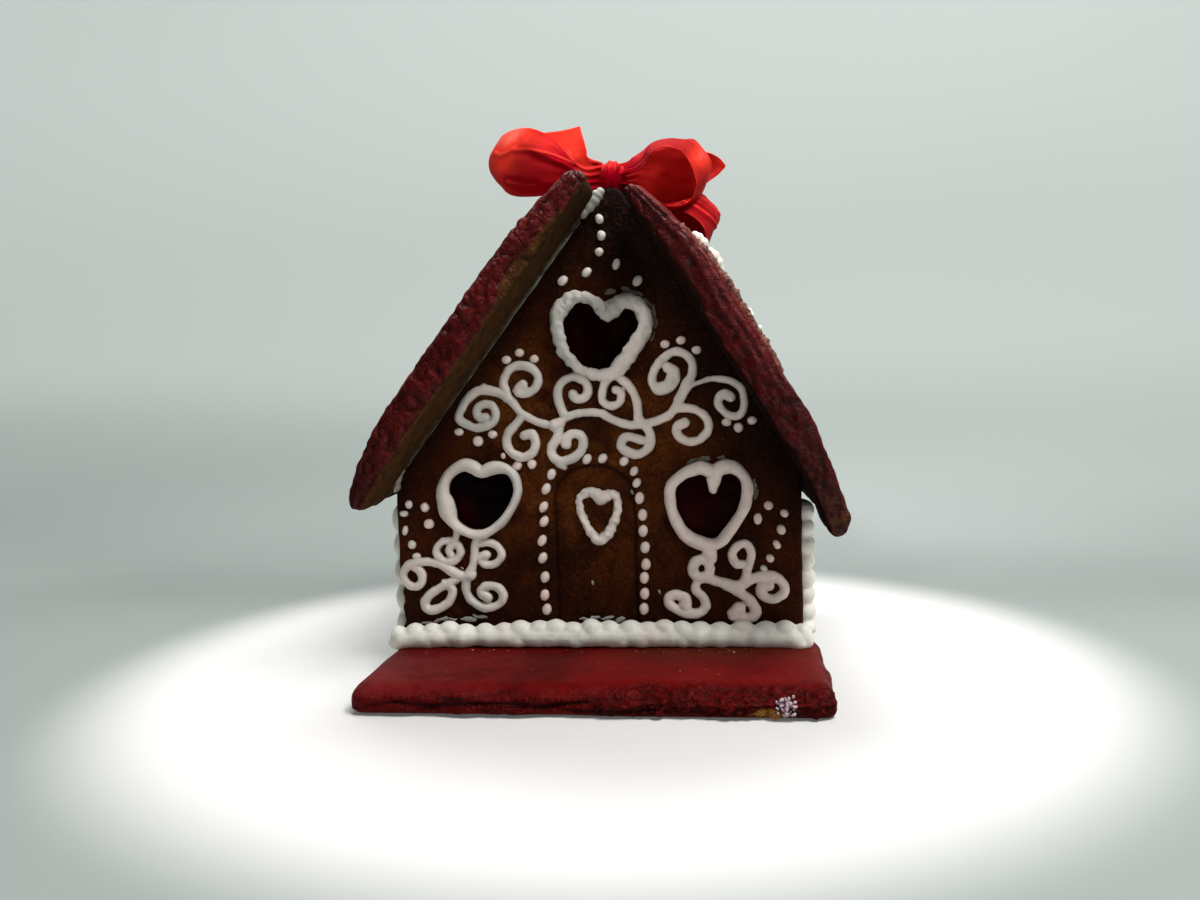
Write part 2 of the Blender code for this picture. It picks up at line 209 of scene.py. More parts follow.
def quads(ids: Array, flipped: bool = False) -> list[tuple[int, ...]]:
    """Four-sided faces over a grid of point numbers.

    Args:
        ids: grid of point numbers.
        flipped: whether the faces look the other way.

    Returns:
        The faces, as point numbers.
    """
    corners = (ids[:-1, :-1], ids[1:, :-1], ids[1:, 1:], ids[:-1, 1:])
    order = corners[::-1] if flipped else corners
    return [tuple(row) for row in np.stack([part.ravel() for part in order], axis=1).tolist()]


@dataclass
class Draft:
    """A mesh being drawn, in millimetres, with named values that its finish can read."""

    points: Array
    faces: list[tuple[int, ...]]
    traits: dict[str, Array] = field(default_factory=dict)

    @classmethod
    def joined(cls, drafts: Iterable["Draft"]) -> "Draft":
        """Put several drafts side by side in one.

        Args:
            drafts: drafts to put together.

        Returns:
            One draft.
        """
        points, faces, start = [], [], 0
        for draft in drafts:
            points.append(draft.points)
            faces.extend(tuple(k + start for k in face) for face in draft.faces)
            start += len(draft.points)
        return cls(np.vstack(points), faces)

    def mesh(self, name: str) -> bpy.types.Mesh:
        """Make a mesh whose faces look outwards, in millimetres.

        Args:
            name: name of the mesh.

        Returns:
            The mesh.
        """
        mesh = bpy.data.meshes.new(name)
        mesh.from_pydata(self.points.tolist(), [], self.faces)
        shape = bmesh.new()
        shape.from_mesh(mesh)
        bmesh.ops.recalc_face_normals(shape, faces=shape.faces[:])
        shape.to_mesh(mesh)
        shape.free()
        return mesh

    def outward(self) -> Array:
        """Unit direction out of the surface at each point.

        Returns:
            One direction for each point.
        """
        mesh = self.mesh("draft")
        values = np.empty(len(self.points) * 3, np.float32)
        mesh.vertices.foreach_get("normal", values)
        bpy.data.meshes.remove(mesh)
        return values.reshape(-1, 3).astype(float)

    def edged(self, face: float, deep: float = 1.3) -> "Draft":
        """Mark as thin what lies close to the wall face that it is piped on."""
        self.traits["thin"] = 1.0 - soft_step(face - self.points[:, 1], 0.15, deep)
        return self

    def swollen(self, amount: Array) -> "Draft":
        """Push each point out of the surface by its own amount."""
        return Draft(self.points + self.outward() * amount[:, None], self.faces, self.traits)

    def melted(self, grain: float, rounds: int = 3, strength: float = 0.5) -> "Draft":
        """Melt overlapping lumps into one skin.

        Args:
            grain: size of the new faces, in millimetres.
            rounds: how often the skin is smoothed.
            strength: how strongly each round smooths it.

        Returns:
            The skin as one closed draft.
        """
        item = bpy.data.objects.new("melt", self.mesh("melt"))
        bpy.context.scene.collection.objects.link(item)
        melt = item.modifiers.new("melt", "REMESH")
        melt.mode = "VOXEL"
        melt.voxel_size = grain
        smooth = item.modifiers.new("smooth", "SMOOTH")
        smooth.iterations = rounds
        smooth.factor = strength
        bpy.context.view_layer.update()
        ready = item.evaluated_get(bpy.context.evaluated_depsgraph_get()).to_mesh()
        values = np.empty(len(ready.vertices) * 3, np.float32)
        ready.vertices.foreach_get("co", values)
        faces = [tuple(face.vertices) for face in ready.polygons]
        first = item.data
        bpy.data.objects.remove(item)
        bpy.data.meshes.remove(first)
        return Draft(values.reshape(-1, 3).astype(float), faces)

    def piece(self, name: str, finish: "Finish", slot: str, nodes: Sequence[str] = ()) -> bpy.types.Object:
        """Make the finished piece in the frame.

        Args:
            name: name of the piece.
            finish: what it is dressed in.
            slot: name of a material slot of the record; not used.
            nodes: frame nodes that it stands for.

        Returns:
            The object, riding on the house.
        """
        mesh = self.mesh(name)
        for key, values in self.traits.items():
            mesh.attributes.new(key, "FLOAT", "POINT").data.foreach_set("value", values.astype(np.float32))
        mesh.transform(Matrix.Scale(MM, 4))
        mesh.shade_smooth()
        item = bpy.data.objects.new(name, mesh)
        bpy.context.scene.collection.objects.link(item)
        mesh.materials.append(finish.material())
        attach(item, "root")
        if nodes:
            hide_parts(*nodes)
        log.info("%s: %d points", name, len(mesh.vertices))
        return item


def tube(centres: Array, sides: Array, outs: Array, closed: bool = False,
         turn: int = 14, sink: float = 1.0) -> Draft:
    """Skin a round or oval tube.

    Args:
        centres: points along its middle.
        sides: half width at each point, as a vector.
        outs: half height at each point, as a vector.
        closed: whether it joins its own start.
        turn: points round the tube.
        sink: share of the height on its inner side.

    Returns:
        The closed tube.
    """
    angles = np.arange(turn) * 2 * math.pi / turn
    across = np.cos(angles)[None, :, None]
    up = np.where(np.sin(angles) < 0, sink, 1.0)[None, :, None] * np.sin(angles)[None, :, None]
    rings = centres[:, None, :] + sides[:, None, :] * across + outs[:, None, :] * up
    count = len(centres)
    ids = np.arange(count * turn).reshape(count, turn)
    wrapped = np.column_stack([ids, ids[:, :1]])
    if closed:
        wrapped = np.vstack([wrapped, wrapped[:1]])
        return Draft(rings.reshape(-1, 3), quads(wrapped))
    points = np.vstack([rings.reshape(-1, 3), centres[:1], centres[-1:]])
    faces = quads(wrapped)
    for k in range(turn):
        faces.append((count * turn, int(wrapped[0, k]), int(wrapped[0, k + 1])))
        faces.append((count * turn + 1, int(wrapped[-1, k + 1]), int(wrapped[-1, k])))
    return Draft(points, faces)


def round_ended(run: Array, widths: Array, steps: int = 4) -> tuple[Array, Array]:
    """Carry a line on past both ends so that a tube round it closes in a dome.

    Args:
        run: points along the line.
        widths: half width at each.
        steps: rings in each dome.

    Returns:
        The longer line and its half widths.
    """
    ahead = lengthwise(run)
    angles = np.linspace(0.0, math.pi / 2, steps + 2)[1:]
    first = [run[0] - ahead[0] * widths[0] * math.sin(a) for a in angles[::-1]]
    last = [run[-1] + ahead[-1] * widths[-1] * math.sin(a) for a in angles]
    shrunk = np.maximum(np.cos(angles), 0.02)
    line = np.vstack([first, run, last])
    return line, np.concatenate([widths[0] * shrunk[::-1], widths, widths[-1] * shrunk])


def lump(centre: Sequence[float], radii: Sequence[float], lean: float = 0.0, axis: str = "Y",
         around: int = 18, rows: int = 10) -> Draft:
    """One round lump.

    Args:
        centre: its middle.
        radii: half size along X, Y and Z before it leans.
        lean: turn about the axis, in degrees.
        axis: axis that it leans about.
        around: points round it.
        rows: rows of faces from pole to pole.

    Returns:
        The closed lump.
    """
    heights = np.linspace(0.0, math.pi, rows + 1)[1:-1]
    angles = np.arange(around) * 2 * math.pi / around
    flat = np.sin(heights)[:, None]
    ring = np.stack([flat * np.cos(angles), flat * np.sin(angles),
                     np.repeat(np.cos(heights)[:, None], around, axis=1)], axis=2).reshape(-1, 3)
    ball = np.vstack([ring, [[0.0, 0.0, 1.0], [0.0, 0.0, -1.0]]]) * np.array(radii)
    turned = ball @ np.array(Matrix.Rotation(math.radians(lean), 3, axis)).T + np.array(centre)
    ids = np.arange((rows - 1) * around).reshape(rows - 1, around)
    wrapped = np.column_stack([ids, ids[:, :1]])
    faces = quads(wrapped)
    top, bottom = (rows - 1) * around, (rows - 1) * around + 1
    for k in range(around):
        faces.append((top, int(wrapped[0, k]), int(wrapped[0, k + 1])))
        faces.append((bottom, int(wrapped[-1, k + 1]), int(wrapped[-1, k])))
    return Draft(turned, faces)


def box_shell(wide: Array, deep: Array, tall: Array) -> Draft:
    """Skin of a box with its points at the given places along each axis.

    Args:
        wide: places of the points along X.
        deep: places along Y.
        tall: places along Z.

    Returns:
        The skin.
    """
    ids = np.full((len(wide), len(deep), len(tall)), -1)
    inner = np.zeros(ids.shape, bool)
    inner[1:-1, 1:-1, 1:-1] = True
    spots = np.argwhere(~inner)
    ids[~inner] = np.arange(len(spots))
    points = np.column_stack([wide[spots[:, 0]], deep[spots[:, 1]], tall[spots[:, 2]]])
    faces = quads(ids[:, :, -1]) + quads(ids[:, :, 0], True)
    faces += quads(ids[-1]) + quads(ids[0], True)
    faces += quads(ids[:, -1, :], True) + quads(ids[:, 0, :])
    return Draft(points, faces)


def rounded(points: Array, low: Array, high: Array, radii: Array) -> Array:
    """Round the edges of a box's points.

    Args:
        points: points on the box.
        low: its lowest corner.
        high: its highest corner, a row for each point if it varies.
        radii: how far the rounding reaches along each axis, a row for each point if it varies.

    Returns:
        The moved points.
    """
    core = np.clip(points, low + radii, high - radii)
    away = (points - core) / radii
    length = np.linalg.norm(away, axis=1, keepdims=True)
    return core + away / np.maximum(length, 1e-9) * radii * (length > 1e-9)


# ----- Finishes -----


@dataclass(frozen=True)
class Signal:
    """A number in a material that can be used in sums."""

    graph: "Graph"
    socket: bpy.types.NodeSocket

    def _sum(self, operation: str, first: "Signal | float", second: "Signal | float") -> "Signal":
        """Add one Math node."""
        made = self.graph.node("ShaderNodeMath", {"operation": operation}, {0: first, 1: second})
        return Signal(self.graph, made.outputs[0])

    def __add__(self, other: "Signal | float") -> "Signal":
        """Add."""
        return self._sum("ADD", self, other)

    def __radd__(self, other: float) -> "Signal":
        """Add to a number."""
        return self._sum("ADD", other, self)

    def __sub__(self, other: "Signal | float") -> "Signal":
        """Take away."""
        return self._sum("SUBTRACT", self, other)

    def __rsub__(self, other: float) -> "Signal":
        """Take from a number."""
        return self._sum("SUBTRACT", other, self)

    def __mul__(self, other: "Signal | float") -> "Signal":
        """Multiply."""
        return self._sum("MULTIPLY", self, other)

    def __rmul__(self, other: float) -> "Signal":
        """Multiply a number."""
        return self._sum("MULTIPLY", other, self)

    def rising(self, low: float, high: float) -> "Signal":
        """Rise smoothly from 0 at low to 1 at high.

        Args:
            low: value where it starts.
            high: value where it ends.

        Returns:
            A share from 0 to 1.
        """
        made = self.graph.node("ShaderNodeMapRange", {"interpolation_type": "SMOOTHSTEP"},
                               {"Value": self, "From Min": low, "From Max": high})
        return Signal(self.graph, made.outputs["Result"])


@dataclass(frozen=True)
class Tint:
    """A colour in a material that can be mixed."""

    graph: "Graph"
    socket: bpy.types.NodeSocket

    def towards(self, colour: "Tint | Colour", share: "Signal | float") -> "Tint":
        """Mix towards another colour by a share."""
        return self.graph.mix(self, colour, share)


class Graph:
    """Builds the nodes of one material."""

    def __init__(self, name: str) -> None:
        """Start an empty material.

        Args:
            name: its name.
        """
        self.material = bpy.data.materials.new(name)
        self.material.use_nodes = True
        self.tree = self.material.node_tree
        self.tree.nodes.clear()
        self.place = self.node("ShaderNodeTexCoord").outputs["Object"]

    def node(self, kind: str, settings: dict | None = None, values: dict | None = None) -> bpy.types.Node:
        """Add one node.

        Args:
            kind: its type.
            settings: its own settings, made first.
            values: numbers, colours, signals, tints or sockets for its inputs.

        Returns:
            The node.
        """
        made = self.tree.nodes.new(kind)
        for key, value in (settings or {}).items():
            setattr(made, key, value)
        for key, value in (values or {}).items():
            self._feed(made.inputs[key], value)
        return made

    def _feed(self, socket: bpy.types.NodeSocket, value: object) -> None:
        """Give an input its link or its own value.

        Args:
            socket: input to feed.
            value: link or plain value.
        """
        if isinstance(value, (Signal, Tint)):
            self.tree.links.new(value.socket, socket)
        elif isinstance(value, bpy.types.NodeSocket):
            self.tree.links.new(value, socket)
        elif isinstance(value, tuple) and len(value) == 3 and socket.type == "RGBA":
            socket.default_value = (*value, 1.0)
        else:
            socket.default_value = value

    def mix(self, first: "Tint | tuple", second: "Tint | tuple", share: "Signal | float") -> Tint:
        """Mix two colours by a share."""
        made = self.node("ShaderNodeMix", {"data_type": "RGBA"}, {0: share, 6: first, 7: second})
        return Tint(self, made.outputs[2])

    def noise(self, size: float, detail: float = 3.0, rough: float = 0.5,
              stretch: Spot = EVEN, shift: float = 0.0,
              bend: float = 0.0) -> Signal:
        """Cloudy noise over the piece.

        Args:
            size: size of its largest clouds, in millimetres.
            detail: how many finer layers are added.
            rough: how strong the finer layers are.
            stretch: how much longer the clouds are along each axis.
            shift: moves the pattern, in millimetres.
            bend: how much the pattern is bent by itself.

        Returns:
            A signal about 0.5.
        """
        scale = tuple(1000.0 / (size * part) for part in stretch)
        moved = self.node("ShaderNodeVectorMath", {"operation": "MULTIPLY_ADD"},
                          {0: self.place, 1: scale, 2: (shift, shift, shift)})
        made = self.node("ShaderNodeTexNoise", None,
                         {"Vector": moved.outputs[0], "Scale": 1.0, "Detail": detail, "Roughness": rough,
                          "Distortion": bend})
        return Signal(self, made.outputs[0])

    def wrinkles(self, size: float, shift: float) -> Signal:
        """Rounded lumps with sharp creases between them, 0 in a crease and up to 1.

        Args:
            size: size of one lump, in millimetres.
            shift: offset that picks another pattern.

        Returns:
            A share from 0 to 1.
        """
        cloud = self.noise(size, 2.0, 0.5, EVEN, shift, 0.5) * 8.0 - 4.0
        made = self.node("ShaderNodeMath", {"operation": "ABSOLUTE", "use_clamp": True}, {0: cloud})
        return Signal(self, made.outputs[0])

    def trait(self, name: str) -> Signal:
        """A value that the piece's mesh carries."""
        made = self.node("ShaderNodeAttribute", {"attribute_name": name})
        return Signal(self, made.outputs["Fac"])

    def near(self, centre: Spot, reach: Spot) -> Signal:
        """How near a place is to a centre, 1 there and 0 at the reach along each axis.

        Args:
            centre: the centre, in millimetres.
            reach: reach along each axis, in millimetres.

        Returns:
            A share from 0 to 1.
        """
        low = tuple(part * MM for part in centre)
        away = self.node("ShaderNodeVectorMath", {"operation": "SUBTRACT"}, {0: self.place, 1: low})
        scaled = self.node("ShaderNodeVectorMath", {"operation": "DIVIDE"},
                           {0: away.outputs[0], 1: tuple(part * MM for part in reach)})
        length = self.node("ShaderNodeVectorMath", {"operation": "LENGTH"}, {0: scaled.outputs[0]})
        return 1.0 - Signal(self, length.outputs["Value"]).rising(0.15, 1.0)

    def bump(self, height: Signal, depth: float) -> bpy.types.NodeSocket:
        """Turn a height into a normal; depth is in millimetres."""
        made = self.node("ShaderNodeBump", None, {"Height": height, "Distance": depth * MM, "Strength": 1.0})
        return made.outputs["Normal"]

    def surface(self, through: "Tint | None" = None, share: float = 0.0,
                **values: object) -> bpy.types.Material:
        """Close the material.

        Args:
            through: colour of the light that passes through, if any does.
            share: how much of the light does.
            values: inputs of the main shader, with _ for a space.

        Returns:
            The material.
        """
        made = self.node("ShaderNodeBsdfPrincipled", None,
                         {key.replace("_", " "): value for key, value in values.items()})
        if through:
            behind = self.node("ShaderNodeBsdfTranslucent", None, {"Color": through})
            made = self.node("ShaderNodeMixShader", None,
                             {0: share, 1: made.outputs[0], 2: behind.outputs[0]})
        self.node("ShaderNodeOutputMaterial", None, {"Surface": made.outputs[0]})
        return self.material


class Finish:
    """What a piece is dressed in; each is made once and shared."""

    _made: dict["Finish", bpy.types.Material] = {}

    def material(self) -> bpy.types.Material:
        """The finish's material.

        Returns:
            The material, made the first time it is asked for.
        """
        if self not in Finish._made:
            Finish._made[self] = self.build(Graph(type(self).__name__))
        return Finish._made[self]

    def build(self, graph: Graph) -> bpy.types.Material:
        """Build the material's nodes."""
        raise NotImplementedError


@dataclass(frozen=True)
class BrownGingerbread(Finish):
    """Dark baked biscuit with a thin glaze."""

    dark: Colour = (0.016, 0.0024, 0.0003)
    middle: Colour = (0.050, 0.0095, 0.0009)
    warm: Colour = (0.185, 0.055, 0.0055)
    burnt: Colour = (0.0045, 0.0016, 0.0010)
    dust: Colour = (0.110, 0.085, 0.060)

    def build(self, graph: Graph) -> bpy.types.Material:
        """Build clouds of browning, warm patches, fine grain and dust, with painted shade at the apex, under
        the roof edges, near the foot and along the scored door line.

        Args:
            graph: graph to build in.

        Returns:
            The material.
        """
        clouds = graph.noise(40.0, 3.0, 0.55, bend=0.4)
        mottle = graph.noise(8.0, 4.0, 0.6, shift=4.0, bend=0.6)
        grain = graph.noise(1.5, 4.0, 0.65, shift=9.0)
        pores = graph.wrinkles(2.6, 5.0)
        colour = graph.mix(self.dark, self.middle, (clouds * 0.6 + mottle * 0.4).rising(0.38, 0.60))
        glow = (graph.near((0.0, -31.0, 64.0), (54.0, 40.0, 44.0)) * 0.8
                + graph.near((-34.0, -31.0, 112.0), (34.0, 40.0, 34.0))
                + graph.near((10.0, -31.0, 100.0), (60.0, 40.0, 26.0)) * 0.8)
        colour = colour.towards(self.warm, glow * (mottle * 0.4 + clouds * 0.6).rising(0.34, 0.68) * 0.62)
        # Painted shade: dark at the apex under the bow and between the roof panels, where the shade trait
        # marks the roof edges' shadow and the foot, and along the scored door line.
        colour = colour.towards(self.burnt, graph.near((9.0, -31.0, 192.0), (26.0, 30.0, 52.0)) * 0.9)
        colour = colour.towards(self.burnt, graph.trait("shade"))
        colour = colour.towards(self.burnt, graph.trait("score"))
        colour = colour.towards(self.dark, (1.0 - pores).rising(0.55, 0.95) * 0.6)
        colour = colour.towards(self.warm, grain.rising(0.58, 0.74) * 0.25)
        colour = colour.towards(self.dust, graph.noise(0.9, 2.0, 0.5, shift=13.0).rising(0.66, 0.76) * 0.35)
        height = grain * 0.5 + pores * 0.7 + graph.noise(5.0, 3.0, 0.5, shift=2.0) * 1.1
        return graph.surface(Base_Color=colour, Roughness=0.40 + mottle * 0.24, Specular_IOR_Level=0.045,
                             Normal=graph.bump(height, 0.30))


@dataclass(frozen=True)
class RedGingerbread(Finish):
    """Biscuit coloured deep red, brown where the colour missed it."""

    deep: Colour = (0.068, 0.0020, 0.0018)
    bright: Colour = (0.140, 0.0040, 0.0044)
    pit: Colour = (0.018, 0.0014, 0.0010)
    crumb: Colour = (0.150, 0.030, 0.016)
    bare: Colour = (0.078, 0.034, 0.011)
    hidden: Colour = (0.012, 0.0050, 0.0024)
    pale: Colour = (0.24, 0.22, 0.15)
    bloom: Colour = (0.170, 0.028, 0.028)
    shine: float = 0.03
    golden: Colour = (0.235, 0.105, 0.020)

    def build(self, graph: Graph) -> bpy.types.Material:
        """Build the coat of colour, with painted shade in its pits and creases, worn through on the high
        crumbs, and a painted sheen and painted shade where the mesh marks them.

        Args:
            graph: graph to build in.

        Returns:
            The material.
        """
        clouds = graph.noise(30.0, 3.0, 0.5, bend=0.3)
        mottle = graph.noise(4.5, 4.0, 0.6, shift=3.0, bend=0.5)
        grain = graph.noise(1.0, 4.0, 0.7, shift=7.0)
        creases = graph.wrinkles(3.4, 2.0)
        fine = graph.wrinkles(1.5, 8.0)
        relief = graph.trait("relief")
        coarse = graph.trait("coarse")
        colour = graph.mix(self.deep, self.bright, (clouds * 0.7 + mottle * 0.3).rising(0.36, 0.62))
        colour = colour.towards(self.deep, coarse * 0.6)
        # Painted shade: the pit colour darkens the pits and creases of the relief.
        colour = colour.towards(
            self.pit, (1.0 - relief * 0.8 - creases * 0.2).rising(0.36, 0.80) * coarse * 0.9)
        colour = colour.towards(self.pit, (1.0 - fine).rising(0.70, 1.0) * coarse * 0.25)
        worn = (mottle * 0.5 + grain * 0.5).rising(0.52, 0.66) * coarse
        colour = colour.towards(self.crumb, worn * (relief * 0.7 + creases * 0.3).rising(0.5, 0.9) * 0.45)
        # Painted sheen: paler where the mesh marks a sheen or highlight.
        colour = colour.towards(self.bloom, graph.trait("bloom") * 0.35 * mottle.rising(0.3, 0.6))
        umber = graph.mix(self.hidden, self.bare, (mottle * 0.6 + grain * 0.4).rising(0.30, 0.56))
        colour = colour.towards(umber, graph.trait("bare"))
        # Painted shade where the mesh marks it, in the dark umber colour.
        colour = colour.towards(self.hidden, graph.trait("hidden"))
        colour = colour.towards(self.pale, graph.trait("pale") * mottle.rising(0.35, 0.60) * 0.85)
        colour = colour.towards(self.golden, graph.trait("torn") * (0.4 + mottle * 0.8))
        height = grain * 0.25 + mottle * 0.9 + (creases * 1.3 + fine * 0.3) * (0.12 + coarse * 0.88)
        bare = graph.trait("bare")
        return graph.surface(Base_Color=colour, Roughness=0.40 + grain * 0.2 + bare * 0.4,
                             Specular_IOR_Level=0.05,
                             Coat_Weight=(coarse - bare).rising(0.0, 1.0) * self.shine,
                             Coat_Roughness=0.26, Normal=graph.bump(height, 0.36))


@dataclass(frozen=True)
class RoyalIcing(Finish):
    """Hard white icing, a little clear, stained pink in places."""

    white: Colour = (0.74, 0.74, 0.66)
    pink: Colour = (0.70, 0.585, 0.535)
    grey: Colour = (0.52, 0.525, 0.49)
    clear: Colour = (0.30, 0.275, 0.225)
    stain: float = 0.5
    blush: float = 0.0

    def build(self, graph: Graph) -> bpy.types.Material:
        """Build soft stains, a pinker and painted brighter colour towards the right, and a faintly uneven
        skin.

        Args:
            graph: graph to build in.

        Returns:
            The material.
        """
        clouds = graph.noise(24.0, 3.0, 0.5, shift=1.0, bend=0.4)
        mottle = graph.noise(3.2, 3.0, 0.5, shift=6.0)
        # Painted light: towards the right the icing shifts to its pink, which in the piped icing is also
        # paler, so it is pinker and painted brighter there.
        right = graph.near((52.0, -31.0, 60.0), (90.0, 60.0, 120.0)) * self.blush
        colour = graph.mix(self.white, self.pink,
                           (clouds.rising(0.40, 0.62) * self.stain + right).rising(0.0, 1.0))
        colour = colour.towards(self.grey, mottle.rising(0.50, 0.72) * 0.45)
        colour = colour.towards(self.clear, graph.trait("thin") * (0.25 + mottle * 0.9))
        height = graph.noise(1.8, 3.0, 0.55, shift=3.0) + mottle * 0.8
        return graph.surface(Base_Color=colour, Roughness=0.36 + mottle * 0.16, Specular_IOR_Level=0.30,
                             Subsurface_Weight=0.12, Subsurface_Radius=(0.9, 0.8, 0.7),
                             Subsurface_Scale=0.0015, Normal=graph.bump(height, 0.10))


@dataclass(frozen=True)
class CandyGlass(Finish):
    """Dark red boiled sugar."""

    black: Colour = (0.0015, 0.0004, 0.0004)
    red: Colour = (0.034, 0.0005, 0.0007)

    def build(self, graph: Graph) -> bpy.types.Material:
        """Build a glossy sugar with a painted red glow, as of light shining through it, where the thin trait
        is high.

        Args:
            graph: graph to build in.

        Returns:
            The material.
        """
        clouds = graph.noise(18.0, 2.0, 0.5, shift=2.0)
        thin = graph.trait("thin")
        colour = graph.mix(self.black, self.red, thin * (0.5 + clouds * 0.8))
        height = graph.noise(12.0, 2.0, 0.5)
        return graph.surface(Base_Color=colour, Roughness=0.05 + clouds * 0.04, Specular_IOR_Level=0.03,
                             Normal=graph.bump(height, 0.5))


@dataclass(frozen=True)
class Satin(Finish):
    """Thin red satin ribbon that lets light through."""

    bright: Colour = (1.0, 0.060, 0.035)
    deep: Colour = (0.350, 0.0012, 0.0115)
    sheen: Colour = (1.0, 0.20, 0.14)
    glow: Colour = (1.0, 0.22, 0.13)
    shade: Colour = (0.440, 0.0006, 0.0030)

    def build(self, graph: Graph) -> bpy.types.Material:
        """Build the ribbon's tinted sheen, its painted light and shade with painted highlights in the sheen
        colour, and its fine cross threads.

        Args:
            graph: graph to build in.

        Returns:
            The material.
        """
        clouds = graph.noise(12.0, 2.0, 0.5)
        along = graph.trait("along")
        # Painted light and shade: the mesh sets how lit each part is, from the deep colour through the bright
        # one to the painted highlight colour.
        tone = graph.trait("tone")
        tone = tone + (clouds - 0.5) * 0.25
        colour = graph.mix(self.deep, self.bright, tone.rising(0.05, 0.95))
        colour = colour.towards(self.sheen, tone.rising(0.85, 1.4))
        wave = graph.node("ShaderNodeMath", {"operation": "SINE"}, {0: along * (2 * math.pi / 0.40)})
        threads = Signal(graph, wave.outputs[0])
        height = threads * 0.4 + graph.noise(2.2, 2.0, 0.5, (1.0, 1.0, 0.5)) * 1.6
        return graph.surface(graph.mix(self.shade, self.glow, tone.rising(0.15, 1.0)), 0.40,
                             Base_Color=colour,
                             Metallic=0.4, Roughness=0.38 + clouds * 0.10, Specular_IOR_Level=0.04,
                             Specular_Tint=(0.9, 0.05, 0.03, 1.0),
                             Normal=graph.bump(height, 0.05))


@dataclass(frozen=True)
class Sugar(Finish):
    """Clear sugar crystals."""

    pale: Colour = (0.54, 0.43, 0.48)
    shade: Colour = (0.20, 0.10, 0.13)

    def build(self, graph: Graph) -> bpy.types.Material:
        """Build bright and dull grains.

        Args:
            graph: graph to build in.

        Returns:
            The material.
        """
        speck = graph.noise(0.9, 2.0, 0.5)
        colour = graph.mix(self.shade, self.pale, speck.rising(0.38, 0.58))
        return graph.surface(Base_Color=colour, Roughness=0.12 + speck * 0.1, Specular_IOR_Level=0.6)


@dataclass(frozen=True)
class Crumb(Finish):
    """Golden biscuit crumbs."""

    pale: Colour = (0.42, 0.22, 0.09)
    dark: Colour = (0.16, 0.05, 0.02)

    def build(self, graph: Graph) -> bpy.types.Material:
        """Build crumbs that differ from one to the next.

        Args:
            graph: graph to build in.

        Returns:
            The material.
        """
        speck = graph.noise(4.0, 2.0, 0.5)
        colour = graph.mix(self.dark, self.pale, speck.rising(0.40, 0.60))
        return graph.surface(Base_Color=colour, Roughness=0.7 + speck * 0.1, Specular_IOR_Level=0.3)


@dataclass(frozen=True)
class Backdrop(Finish):
    """Matt paper: white under the house, where a pool of light is painted on it, grey-green behind it, softly
    lit from within.
    """

    near: Colour = (0.60, 0.585, 0.58)
    wide: Colour = (0.21, 0.233, 0.222)
    back: Colour = (0.22, 0.240, 0.232)
    low: Colour = (0.10, 0.110, 0.106)
    middle: Colour = (0.40, 0.440, 0.418)
    high: Colour = (0.475, 0.520, 0.498)
    even: float = 0.17
    rise: Colour = (0.12, 0.13, 0.125)

    def build(self, graph: Graph) -> bpy.types.Material:
        """Build the painted pool of light on the floor and the slow change from the floor to the wall behind.

        Args:
            graph: graph to build in.

        Returns:
            The material.
        """
        parts = graph.node("ShaderNodeSeparateXYZ", None, {0: graph.place})
        back = Signal(graph, parts.outputs["Y"])
        up = Signal(graph, parts.outputs["Z"])
        painted_light_pool = graph.near((0.0, -20.0, 0.0), (330.0, 300.0, 900.0)).rising(0.30, 0.62)
        colour = graph.mix(self.wide, self.back, back.rising(-0.02, 0.24)).towards(self.near, painted_light_pool)
        light = graph.mix((0.0, 0.0, 0.0), self.low, back.rising(0.09, 0.30))
        light = light.towards(self.middle, up.rising(0.0, 0.16)).towards(self.high, up.rising(0.10, 0.42))
        # Painted light: soft uneven patches in the paper's glow behind the house.
        folds = graph.noise(420.0, 2.0, 0.5, (2.2, 1.0, 0.7))
        cloudy = (folds.rising(0.45, 0.75) * 0.45 - self.even) * back.rising(0.0, 0.12) + self.even
        light = light.towards(self.middle, cloudy)
        colour = colour.towards(self.rise, up.rising(0.0, 0.10))
        return graph.surface(Base_Color=colour, Roughness=0.9,
                             Specular_IOR_Level=0.05, Emission_Color=light, Emission_Strength=1.0)


@dataclass(frozen=True)
class FarWall(Finish):
    """Pale wall of the room, lit evenly."""

    low: Colour = (0.36, 0.396, 0.378)
    high: Colour = (0.475, 0.520, 0.498)

    def build(self, graph: Graph) -> bpy.types.Material:
        """Build a wall that grows a little paler upwards.

        Args:
            graph: graph to build in.

        Returns:
            The material.
        """
        parts = graph.node("ShaderNodeSeparateXYZ", None, {0: graph.place})
        up = Signal(graph, parts.outputs["Z"])
        light = graph.mix(self.low, self.high, up.rising(-0.4, 3.0))
        return graph.surface(Base_Color=(0.0, 0.0, 0.0), Roughness=1.0, Specular_IOR_Level=0.0,
                             Emission_Color=light, Emission_Strength=1.0)


# ----- Plan -----


class Side(Enum):
    """The two slopes of the roof."""

    LEFT = -1
    RIGHT = 1


